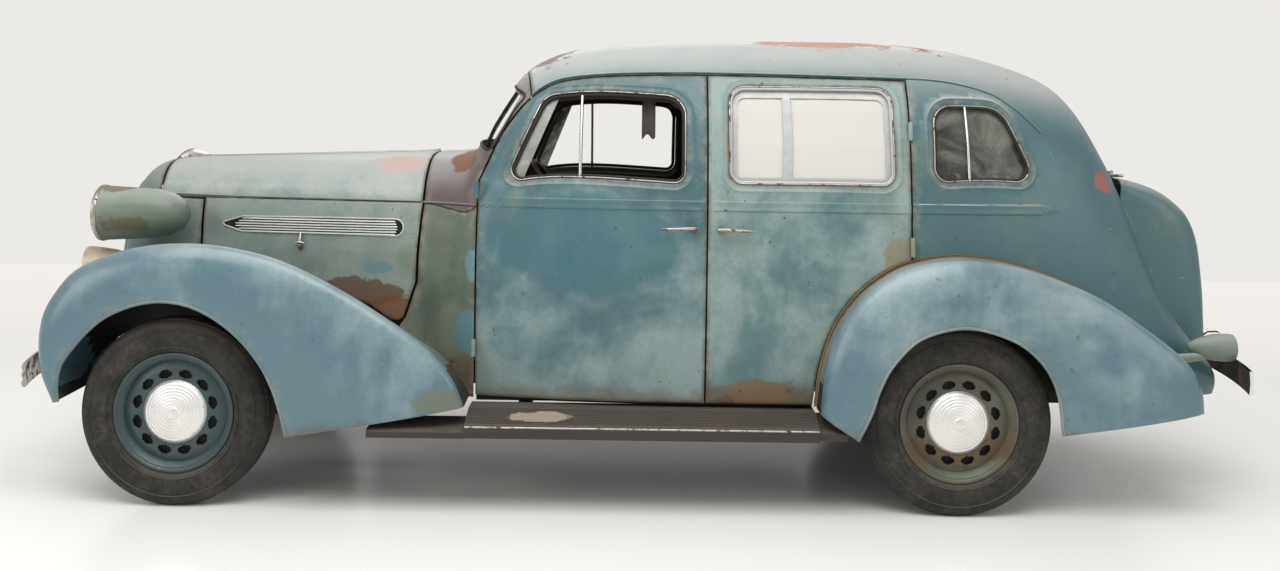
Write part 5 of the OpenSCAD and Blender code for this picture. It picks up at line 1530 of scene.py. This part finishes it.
def fender(name, rows, count, replaces):
    places = range(len(rows))
    fine = np.stack([curve(list(zip(places, [r[i] for r in rows])), np.linspace(0, len(rows) - 1, count))
                     for i in range(7)], 1)
    rings, rims = [], []
    for k, row in enumerate(fine):
        outer, inner = fender_ring(row, 0), fender_ring(row, 6)
        rings.append(outer + inner[::-1])
        to_lip = [math.dist(p, outer[0]) for p in outer]
        to_body = [math.dist(p, outer[-1]) for p in outer]
        ends = min(k, count - 1 - k) * 18
        near = [min(a, b, ends + 2) * MM for a, b in zip(to_lip, to_body)]
        rims += near + near[::-1]
    made = loft(name, rings, [FINISHES.fender, FINISHES.black], both=True, replaces=[replaces],
            slot="fender_paint", smooth=40)
    for p in made.data.polygons:
        below = Vector((p.center.x, math.copysign(0.56, p.center.y), 0.5))
        p.material_index = int((p.center - below).dot(p.normal) < 0)
    if len(made.data.vertices) == 2 * len(rims):
        attribute(made, "rim", rims + rims)
    lip_path = [(r[0], -LIP_Y + 3, r[1]) for r in fine]
    tube(name + "_lip_bead", lip_path, 6.5, FINISHES.fender_edge, both=True, sides=10)
    return fine


def extruded(name, section, x0, x1, material, both=True, replaces=(), parts=2, smooth=35, slot=None):
    """A section (y, z) drawn out along the car."""
    rings = [[(x, y, z) for y, z in section] for x in np.linspace(x0, x1, parts)]
    return loft(name, rings, material, both=both, replaces=replaces, smooth=smooth, slot=slot)


class SEDAN_OT_fenders(bpy.types.Operator):
    """Shape the four fenders with their beads, and the ribbed running boards"""
    bl_idname = "sedan.fenders"
    bl_label = "Fenders"

    def execute(self, context):
        fender("front_fenders_skin", FRONT_ROWS, 110, "front_fenders")
        rear = fender("rear_fenders_skin", rear_rows(), 110, "rear_fenders")
        path = [(r[4], -r[6] - 3, r[5] + 1) for r in rear]
        tube("rear_fender_welt", path, 5, FINISHES.welt, both=True, sides=10)
        path = [(r[4] - 7, -r[6] + 1, r[5] + 9) for r in rear[:78]]
        tube("rear_fender_outer_welt", path, 4, FINISHES.welt, both=True, sides=10)
        for x in (100, 540):
            y = float(skin_y(x, 640))
            extruded("front_fender_iron_%d" % x, [(-362, 500.5), (-362, 512), (-y - 12, 548),
                    (-y - 12, 640), (-y - 34, 640), (-y - 34, 540), (-392, 500.5)], x - 24, x + 24,
                    FINISHES.black)
        self.boards()
        return {"FINISHED"}

    def boards(self):
        top = [(-640, 376), (-735, 376)]
        for k in range(11):
            y = -741 - k * 10.6
            z = 374 - k * 3.05
            top += [(y, z), (y - 1.2, z + 2.2), (y - 5.2, z + 1.1), (y - 6.4, z - 1.9)]
        section = top + [(-860, 337), (-868, 328), (-868, 290), (-861, 290), (-861, 318), (-732, 356),
                (-640, 356)]
        extruded("running_boards_ribbed", section, 1104, 2424, FINISHES.board, replaces=["running_boards"],
                parts=40, smooth=25, slot="board_rubber")
        extruded("running_boards_front_end", [(-690, 330), (-858, 318), (-868, 310), (-868, 288),
                (-690, 288)], 741, 1104, FINISHES.board, parts=10, slot="board_rubber")
        extruded("running_boards_rear_end", [(-690, 296), (-862, 296), (-862, 322), (-690, 362)], 2424, 2530,
                 FINISHES.board, slot="board_rubber")
        extruded("sill_apron", [(-596, 372), (-596, 470), (-590, 470), (-590, 372)], 1114, 2424,
                FINISHES.black)
        path = [(x, -866, 331) for x in np.linspace(1106, 2422, 30)]
        tube("running_board_edge_trim", path, 4, FINISHES.old_chrome, both=True, sides=8)


# ---- trunk ----

TRUNK_TOP = [(3713, 1276), (3776, 1264), (3856, 1242), (3920, 1215), (3975, 1176), (4018, 1135), (4052, 1074),
             (4072, 1000), (4084, 900), (4092, 800), (4094, 700), (4093, 610), (4088, 556)]
TRUNK_FOOT = [(3713, 1170), (3722, 1140), (3734, 1105), (3748, 1060), (3764, 1010), (3782, 960), (3802, 900),
              (3826, 850), (3856, 790), (3890, 730), (3930, 670), (3965, 610), (3990, 560)]
TRUNK_WIDE = [(-648, 1), (-468, 1), (-426, 0.985), (-387, 0.945), (-349, 0.87), (-296, 0.74), (-160, 0.4),
        (0, 0)]
TRUNK_HIGH = [(-648, 0), (-468, 0.6), (-426, 0.74), (-387, 0.86), (-349, 0.94), (-296, 0.98), (-160, 0.997),
        (0, 1)]


def trunk_surface(a, b, side_depth=0.0, top_depth=0.0):
    """The trunk's bulge: a runs down its profile in hundredths, b round it; its centre line is at GIRTH."""
    i = np.asarray(a, float) / 100
    b = np.asarray(b, float) - GIRTH
    top = np.stack([curve([(k, p[c]) for k, p in enumerate(TRUNK_TOP)], i) for c in (0, 1)], -1)
    foot = np.stack([curve([(k, p[c]) for k, p in enumerate(TRUNK_FOOT)], i) for c in (0, 1)], -1)
    v = top - foot
    top = top - v * (side_depth / np.linalg.norm(v, axis=-1))[..., None]
    wide = np.interp(b, *np.array(TRUNK_WIDE, float).T)
    high = np.interp(b, *np.array(TRUNK_HIGH, float).T)
    g = foot + (top - foot) * high[..., None]
    return np.stack([g[..., 0], -wide * (400 - side_depth), g[..., 1]], -1)


class SEDAN_OT_trunk(bpy.types.Operator):
    """Shape the trunk's bulge and its lid with hinges, handle and seam"""
    bl_idname = "sedan.trunk"
    bl_label = "Trunk"

    def execute(self, context):
        g = GIRTH
        corner = rounded([(32, g + 40), (32, g - 327), (1076, g - 327), (1076, g + 40)], [0, 64, 64, 0], 10)
        inner = [(39, g) if p[1] > g else p for p in corner[1:-1]]
        outline = [(0, g - 640), (1198, g - 640), (1198, g), (1076, g)] + inner[::-1] + [(32, g)]
        panel("trunk_housing_skin", outline, FINISHES.trunk, (), (0, 7), None, step(), join=True,
                bead=False, roll=1.5, band=False, surface=trunk_surface, replaces=["trunk_housing"],
                slot="fender_paint")
        lid = rounded([(44, g + 40), (44, g - 320), (1067, g - 320), (1067, g + 40)], [0, 60, 60, 0], 10)
        lid = [(44, g)] + lid[1:-1] + [(1067, g)]
        panel("trunk_lid_skin", lid, FINISHES.trunk, (), (0, 7), None, step(), join=True, bead=False,
                roll=2.5, band=False, surface=trunk_surface, body="trunk_lid", replaces=["trunk_lid"],
                slot="fender_paint")
        pin_x, pin_z, pin_half, strap_half = 3730, 1292, 30, 11
        for i, y in enumerate((-230, 230)):
            tube("trunk_hinge_pin_%d" % i, [(pin_x, y - pin_half, pin_z), (pin_x, y + pin_half, pin_z)], 8,
                 FINISHES.old_chrome, sides=24)
            block("trunk_hinge_strap_%d" % i, (pin_x + 3, y - strap_half, 1270), (3790, y + strap_half, 1282),
                  FINISHES.old_chrome, "trunk_lid", 4)
        spun("trunk_handle_boss", [(0, 18), (10, 17), (14, 12), (16, 0), (16, -6), (0, -6)], (4096, 0, 690),
                (1, 0, 0), FINISHES.old_chrome, "trunk_lid", 40)
        tube("trunk_handle_bar", [(4118, -46, 688), (4122, -24, 690), (4123, 0, 691), (4122, 24, 690),
                (4118, 46, 688)], [4, 7, 8, 7, 4], FINISHES.old_chrome, "trunk_lid", 14)
        path = [(x - 3, -402, z + 4) for x, z in smooth(TRUNK_FOOT, 4)]
        tube("trunk_seam_bead", path, 4.5, FINISHES.strip, both=True, sides=10)
        return {"FINISHED"}


# ---- bumpers and tail lamps ----

def blade(name, x, way, z, material, replaces=(), y_from=-800, y_to=800, proud=0.0):
    """A bumper blade with three rolled ridges, bent to a wide arc."""
    half_span, sweep_back = 800, 122
    radius = (half_span ** 2 + sweep_back ** 2) / (2 * sweep_back)
    section = [(radius - 15, -45)]
    for k in np.linspace(-45, 45, 37):
        section.append((radius - 6 + 5 * abs(math.sin((k + 45) / 90 * 3 * math.pi)) + proud, k))
    section += [(radius - 15, 45), (radius - 12, 0)]
    rings = []
    for a in np.linspace(math.asin(y_from / radius), math.asin(y_to / radius), 60):
        rings.append([(x - way * (radius - r * math.cos(a)), r * math.sin(a), z + h) for r, h in section])
    return loft(name, rings, material, replaces=replaces, smooth=30, slot="bright_trim")


TAIL_LAMP_X, TAIL_LAMP_Y, TAIL_LAMP_Z = 4090, 590, 618
REAR_BUMPER_X, REAR_BUMPER_Z = 4190, 520


class SEDAN_OT_bumpers(bpy.types.Operator):
    """Bend the bumpers and shape the tail lamps"""
    bl_idname = "sedan.bumpers"
    bl_label = "Bumpers and tail lamps"

    def execute(self, context):
        blade("front_bumper_blade", -690, -1, 486, FINISHES.old_chrome, ["front_bumper"])
        blade("rear_bumper_blade", REAR_BUMPER_X, 1, REAR_BUMPER_Z, FINISHES.iron_brown, ["rear_bumper"])
        for side, low, high in (("left", -802, -640), ("right", 640, 802)):
            blade("rear_bumper_bright_end_" + side, REAR_BUMPER_X, 1, REAR_BUMPER_Z, FINISHES.bright, (),
                    low, high, 2.5)
        block("front_bumper_iron", (-672, -372, 463), (-472, -362, 509), FINISHES.black, both=True, bevel=2)
        block("rear_bumper_iron", (3991, -372, 497), (4170, -362, 543), FINISHES.iron, both=True, bevel=2)
        forward = (-1, 0, 0)
        for side, sign in (("left", -1), ("right", 1)):
            at = (TAIL_LAMP_X, sign * TAIL_LAMP_Y, TAIL_LAMP_Z)
            shell = [(45, 1), (52, 4), (54, 14), (55, 40), (51, 80), (43, 115), (31, 148), (15, 176),
                    (0, 186)]
            spun("tail_lamp_shell_" + side, [(0, 2), (40, 2)] + shell, at, forward, FINISHES.lamp, steps=64,
                    slot="fender_paint")
            spun("tail_lamp_lens_" + side, [(0, -5), (20, -4), (38, 0), (43, 5), (0, 5)], at, forward,
                 FINISHES.tail_lens, steps=48)
            tube("tail_lamp_stem_" + side, [(4010, sign * 590, 592), (3960, sign * 600, 584),
                    (3880, sign * 612, 576), (3800, sign * 634, 568)], [15, 16, 20, 27], FINISHES.lamp,
                    sides=20)
            tube("tail_lamp_broken_bracket_" + side,
                    [(3972, sign * 590, 668), (3990, sign * 592, 680), (4022, sign * 590, 681),
                    (4040, sign * 586, 676)], [7, 5, 5, 2], FINISHES.iron, sides=8, flat=0.4)
        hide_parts("tail_lamps")
        return {"FINISHED"}


# ---- grille shell ----

def nose_x(y, z):
    """How far back the prow's surface lies at y and z; takes arrays."""
    y, z = np.broadcast_arrays(np.abs(np.asarray(y, float)), np.asarray(z, float))
    low, high = np.full(y.shape, -484.0), np.full(y.shape, -60.0)
    for _ in range(18):
        half = (low + high) / 2
        within = (z < skin(half, 1)[1] - 0.01) & (y < skin_y(half, z))
        low, high = np.where(within, low, half), np.where(within, half, high)
    return (low + high) / 2


class SEDAN_OT_grille(bpy.types.Operator):
    """Shape the prow, its opening and the thin bars"""
    bl_idname = "sedan.grille"
    bl_label = "Grille"

    def execute(self, context):
        loop = rounded([(0, 610), (-96, 610), (-196, 1010), (-170, 1130), (-90, 1190), (0, 1190)],
                       [0, 60, 60, 60, 60, 0])
        path = resample(loop, 20)[:-28]
        hits = [p for p in thrown(path[:-1], -900, 1) if p[0] > -482]
        top_x = float(nose_x(0, 1190))
        opening = hits + [(top_x, GIRTH)]
        low = float(share(-483, 610)) * GIRTH
        outline = domain([(-483, 562), (-63, 562), (-63, 1126), (-266, 1126)]) + [(-266,
                GIRTH)] + opening[::-1]
        outline += [(-483, low)]
        panel("grille_shell_skin", outline, FINISHES.nose, (), (0, 10), (0, 10), 16, join=True, bead=False,
                roll=2, band=False, replaces=["grille_shell"], slot="fender_paint")
        block("grille_shell_foot", (-485, -46, 562), (-478, 46, 608), FINISHES.nose, bevel=2)
        a = np.array(opening, float)
        edge = body_surface(a[:, 0], a[:, 1]) + outward(body_surface, a[:, 0], a[:, 1])
        tube("grille_opening_trim", edge, 4.5, FINISHES.old_chrome, both=True, sides=8)
        widths = [(610, 84), (640, 100), (1010, 190), (1090, 180), (1130, 166), (1190, 84)]
        for k in range(25):
            z = 624 + k * 22.6
            half = float(curve(widths, z)) - 4
            ys = np.linspace(-half, half, 21)
            across_bar = np.stack([nose_x(ys, z) + 10, ys, np.full(21, z)], 1)
            tube("grille_bar_%02d" % k, across_bar, 3.4, FINISHES.bar, sides=8, flat=0.7)
        zs = np.linspace(600, 1188, 40)
        spine = np.stack([nose_x(0, zs) + 5, zs * 0, zs], 1)
        tube("grille_spine", spine, 9, FINISHES.old_chrome, sides=12)
        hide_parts("grille")
        for side, sign in (("left", -1), ("right", 1)):
            tube("driving_lamp_post_" + side, [(-418, sign * 450, 836), (-418, sign * 450, 442)], 10,
                    FINISHES.black, sides=16)
            block("driving_lamp_arm_" + side, (-430, min(sign * 461, sign * 392.5), 441),
                  (-406, max(sign * 461, sign * 392.5), 461), FINISHES.black, bevel=2)
        return {"FINISHED"}


# ---- cabin ----

def cushion(name, loop, half, replaces, channels, puff):
    """A stuffed form: its side profile crowned across and pulled in along sewn channels."""
    loop = resample(rounded(loop, 24), 16)
    a = np.array(loop)
    along = np.roll(a, -1, 0) - np.roll(a, 1, 0)
    normal = np.stack([along[:, 1], -along[:, 0]], 1) / np.linalg.norm(along, axis=1)[:, None]
    if area(loop) < 0:
        normal = -normal
    rings = []
    for y in np.linspace(-half, half, 121):
        end = max(abs(y) / half, 0)
        shrink = 1 - math.sqrt(max(1 - max(0, (end - 0.93) / 0.07) ** 2, 0))
        channel = abs(math.cos(channels * math.pi * y / (2 * half)))
        moved = a + normal * (-26 * shrink + puff * (channel ** 0.5 - 0.85))
        rings.append([(x, y, z) for x, z in moved])
    made = loft(name, rings, FINISHES.seat, replaces=replaces, smooth=60, slot="cloth")
    return made


def rag(name, x0, x1, top, bottom, y_at, material, columns=14, rows=16):
    """A torn strip of cloth with a thin thickness; top, bottom and y_at are functions."""
    outer = []
    for i in range(rows):
        for j in range(columns):
            x = x0 + (x1 - x0) * j / (columns - 1)
            z = top(x) + (bottom(x) - top(x)) * i / (rows - 1)
            outer.append((x, y_at(x, z), z))
    outer = np.array(outer)
    inner = outer + [0, 1.4, 0]
    faces = []
    for r, s, t, u in grid_faces(rows, columns):
        faces += [(r, s, t), (r, t, u)]
    points, made = closed_shell(outer, inner, faces)
    cloth_piece = piece(name, points, made, material, smooth=60, slot="cloth")
    recalculated(cloth_piece)
    return cloth_piece


class SEDAN_OT_cabin(bpy.types.Operator):
    """Upholster the seats, hang what is left of the headliner and tape over the rear door's window"""
    bl_idname = "sedan.cabin"
    bl_label = "Cabin"

    def execute(self, context):
        front = [(1524, 640), (1560, 616), (1956, 600), (1986, 640), (2076, 1150), (2064, 1192), (2020, 1200),
                 (1980, 1176), (1904, 796), (1560, 808), (1528, 776)]
        cushion("front_seat_padding", front, 528, ["front_seat"], 12, 9)
        rear = [(2524, 640), (2556, 624), (3116, 624), (3226, 1130), (3212, 1172), (3160, 1186), (3114, 1158),
                (3014, 804), (2560, 822), (2528, 798)]
        cushion("rear_seat_padding", rear, 528, ["rear_seat"], 12, 9)
        for k in (-420, 420):
            block("front_seat_stand_%d" % (k + 500), (1584, k - 18, 522), (1936, k + 18, 604), FINISHES.black)
        self.headliner()
        self.tape()
        self.gauges()
        return {"FINISHED"}

    def headliner(self):
        roof = domain([(x, float(curve(RAIL, x)) + 14) for x in np.linspace(1420, 3240, 40)])
        roof += [(3240, GIRTH), (1420, GIRTH)]
        made = sheet("headliner", roof, FINISHES.headliner, (36, 37.5), 40, top_depth=(34, 35.5), join=True,
                     slot="cloth")
        side = lambda x, z: -float(skin_y(x, z)) + 72
        ripple = lambda x, z: side(x, z) + 5 * math.sin(x / 9 + z / 40) + (1580 - z) * 0.06
        rag("hanging_cloth_strip", 1748, 1802, lambda x: 1592, lambda x: 1414 + 10 * math.sin(x / 7), ripple,
            FINISHES.headliner, rows=30)
        rag("torn_headliner_edge", 1560, 1925, lambda x: 1604,
            lambda x: 1573 - 60 * math.exp(-((x - 1905) / 44) ** 2) - 9 * math.sin(x / 13) * math.sin(x / 31),
            ripple, FINISHES.headliner, 70)

    def tape(self):
        ring = domain(grown(REAR_WINDOW, -5))
        sheet("window_tape_frame", ring, FINISHES.tape, (19, 21), 16, holes=[domain(grown(REAR_WINDOW, -34))],
              body="rear_door_left", slot="card", bump=self.wrinkle)
        strip = domain([(2296, 1246), (2330, 1246), (2334, 1420), (2330, 1610), (2298, 1610), (2300, 1420)])
        sheet("window_tape_strip", strip, FINISHES.tape, (17.5, 19.4), 12, body="rear_door_left", slot="card",
              bump=self.wrinkle)

    def wrinkle(self, xs, points):
        return 0.8 * np.sin(xs / 17 + np.sin(points[:, 2] / 23) * 2) * np.sin(points[:, 2] / 19)

    def gauges(self):
        for k, y in enumerate((-240, -100)):
            spun("dashboard_dial_%d" % k, [(0, 6), (34, 6), (40, 9), (44, 6), (45, 0), (0, 0)],
                    (1129, y, 1195), (0.97, 0, 0.24), FINISHES.old_chrome, steps=48)


# ---- glass ----

PANE_DEPTH = (20, 24)


class SEDAN_OT_glass(bpy.types.Operator):
    """Cut the curved panes for the vents and the quarter windows, with cloth folds behind the quarter panes
    """
    bl_idname = "sedan.glass"
    bl_label = "Glass"

    def execute(self, context):
        vent = [p for p in grown(FRONT_WINDOW, -2) if p[0] < 1506]
        for side in ("left", "right"):
            made = sheet("vent_pane_" + side, domain(vent), FINISHES.glass, PANE_DEPTH, 30,
                    body="front_door_left", slot="glass")
            if side == "right":
                for v in made.data.vertices:
                    v.co.y *= -1
                made.data.flip_normals()
                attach(made, "front_door_right")
            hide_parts("front_door_%s_glass" % side)
        sheet("quarter_panes", domain(grown(QUARTER_WINDOW, -2)), FINISHES.dark_glass, PANE_DEPTH, 30,
                both=True, slot="glass")
        fold = domain([(2940, 1262), (3196, 1262), (3212, 1288), (3150, 1300), (3040, 1290), (2952, 1306)])
        made = sheet("quarter_window_folds", fold, FINISHES.fold, (26, 27.6), 10, slot="cloth",
                bump=self.folds)
        return {"FINISHED"}

    def folds(self, xs, points):
        return 4 * np.sin(xs / 8 + np.sin(points[:, 2] / 12))


class SEDAN_OT_stage(bpy.types.Operator):
    """Set up the floor, the backdrop, the lamps and the camera"""
    bl_idname = "sedan.stage"
    bl_label = "Stage"

    def execute(self, context):
        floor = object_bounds()[0].z
        made = bpy.data.meshes.new("studio_floor")
        corners = [(-40, -30, floor), (40, -30, floor), (40, 6.7, floor), (-40, 6.7, floor)]
        made.from_pydata(corners, [], [(0, 1, 2, 3)])
        ground = bpy.data.objects.new("studio_floor", made)
        context.scene.collection.objects.link(ground)
        pale = Finish("studio_floor_paint", Specular_IOR_Level=0.5, Coat_Weight=0.0)
        far = pale.axis("Y").between(0.9, 3.4)
        pale.shader.inputs["Emission Strength"].default_value = 1.0
        pale.paint(Base_Color=pale.mix(far, tone(251, 250, 247), tone(0, 0, 0)), Roughness=0.22,
                   Emission_Color=pale.mix(far, tone(0, 0, 0), tone(212, 209, 204)))
        made.materials.append(pale.material)
        lamps = [("key_above", (-0.6, -3.2, 5.4), (0.1, 0, 0.7), (5.5, 3.2), 255),
                 ("fill_left", (-6.2, -4.4, 3.0), (-1.0, 0, 0.9), (3.2, 3.2), 80),
                 ("fill_right", (6.0, -4.6, 3.2), (1.0, 0, 0.9), (3.2, 3.2), 66),
                 ("rim_behind", (0.0, 5.0, 4.4), (0, 0, 1.0), (6.5, 2.5), 130)]
        shown = [ground]
        for name, at, aim, size, power in lamps:
            light = bpy.data.lights.new(name, "AREA")
            light.shape = "RECTANGLE"
            light.size, light.size_y = size
            light.energy = power
            lamp = bpy.data.objects.new(name, light)
            lamp.location = at
            lamp.rotation_euler = (Vector(aim) - Vector(at)).to_track_quat("-Z", "Y").to_euler()
            context.scene.collection.objects.link(lamp)
            shown.append(lamp)
        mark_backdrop(*shown)
        world = bpy.data.worlds.new("studio")
        context.scene.world = world
        world.use_nodes = True
        tree = world.node_tree
        tree.nodes.clear()
        ray = tree.nodes.new("ShaderNodeLightPath")
        lit = tree.nodes.new("ShaderNodeBackground")
        seen = tree.nodes.new("ShaderNodeBackground")
        mix = tree.nodes.new("ShaderNodeMixShader")
        out = tree.nodes.new("ShaderNodeOutputWorld")
        lit.inputs[0].default_value = (1.0, 0.99, 0.97, 1)
        lit.inputs[1].default_value = 0.56
        seen.inputs[0].default_value = tone(236, 234, 230)
        seen.inputs[1].default_value = 1.0
        tree.links.new(ray.outputs["Is Camera Ray"], mix.inputs[0])
        tree.links.new(lit.outputs[0], mix.inputs[1])
        tree.links.new(seen.outputs[0], mix.inputs[2])
        tree.links.new(mix.outputs[0], out.inputs[0])
        self.camera(context)
        context.scene.view_settings.view_transform = "Standard"
        return {"FINISHED"}

    def camera(self, context):
        """Seen square from the left, at the height of the windows, with the lens shifted down."""
        view = bpy.data.cameras.new("camera")
        view.lens = 34.237
        view.shift_y = -0.12517
        yaw, roll = 0.0043371, 0.0152276
        ahead = Vector((math.sin(yaw), math.cos(yaw), 0))
        right = Vector((math.cos(yaw), -math.sin(yaw), 0))
        up = Vector((0, 0, 1))
        x_axis = right * math.cos(roll) + up * math.sin(roll)
        y_axis = up * math.cos(roll) - right * math.sin(roll)
        turned = Matrix((x_axis, y_axis, -ahead)).transposed().to_4x4()
        camera = bpy.data.objects.new("camera", view)
        camera.matrix_world = Matrix.Translation((AXLE_X + 1.7199, -5.3777, 1.45896)) @ turned
        context.scene.collection.objects.link(camera)
        context.scene.camera = camera


class SEDAN_PT_panel(bpy.types.Panel):
    """Lists what can be changed and the steps that build the sedan"""
    bl_label = "Weathered touring sedan"
    bl_idname = "SEDAN_PT_panel"
    bl_space_type = "VIEW_3D"
    bl_region_type = "UI"
    bl_category = "Sedan"

    def draw(self, context):
        for group in (context.scene.sedan_sizes, context.scene.sedan_colours):
            for key in group.bl_rna.properties.keys():
                if key not in ("rna_type", "name"):
                    self.layout.prop(group, key)
        for operator in OPERATORS:
            self.layout.operator(operator.bl_idname)


OPERATORS = [SEDAN_OT_finishes, SEDAN_OT_shell, SEDAN_OT_doors, SEDAN_OT_hood, SEDAN_OT_nose, SEDAN_OT_wheels,
             SEDAN_OT_frame_paint, SEDAN_OT_fenders, SEDAN_OT_trunk, SEDAN_OT_bumpers, SEDAN_OT_grille,
             SEDAN_OT_cabin, SEDAN_OT_glass, SEDAN_OT_stage]
CLASSES = [SedanSizes, SedanColours] + OPERATORS + [SEDAN_PT_panel]


def register():
    for c in CLASSES:
        bpy.utils.register_class(c)
    bpy.types.Scene.sedan_sizes = bpy.props.PointerProperty(type=SedanSizes)
    bpy.types.Scene.sedan_colours = bpy.props.PointerProperty(type=SedanColours)


def unregister():
    del bpy.types.Scene.sedan_sizes
    del bpy.types.Scene.sedan_colours
    for c in reversed(CLASSES):
        bpy.utils.unregister_class(c)


def main():
    register()
    for operator in OPERATORS:
        getattr(bpy.ops.sedan, operator.bl_idname.split(".")[1])()


if __name__ == "__main__":
    main()
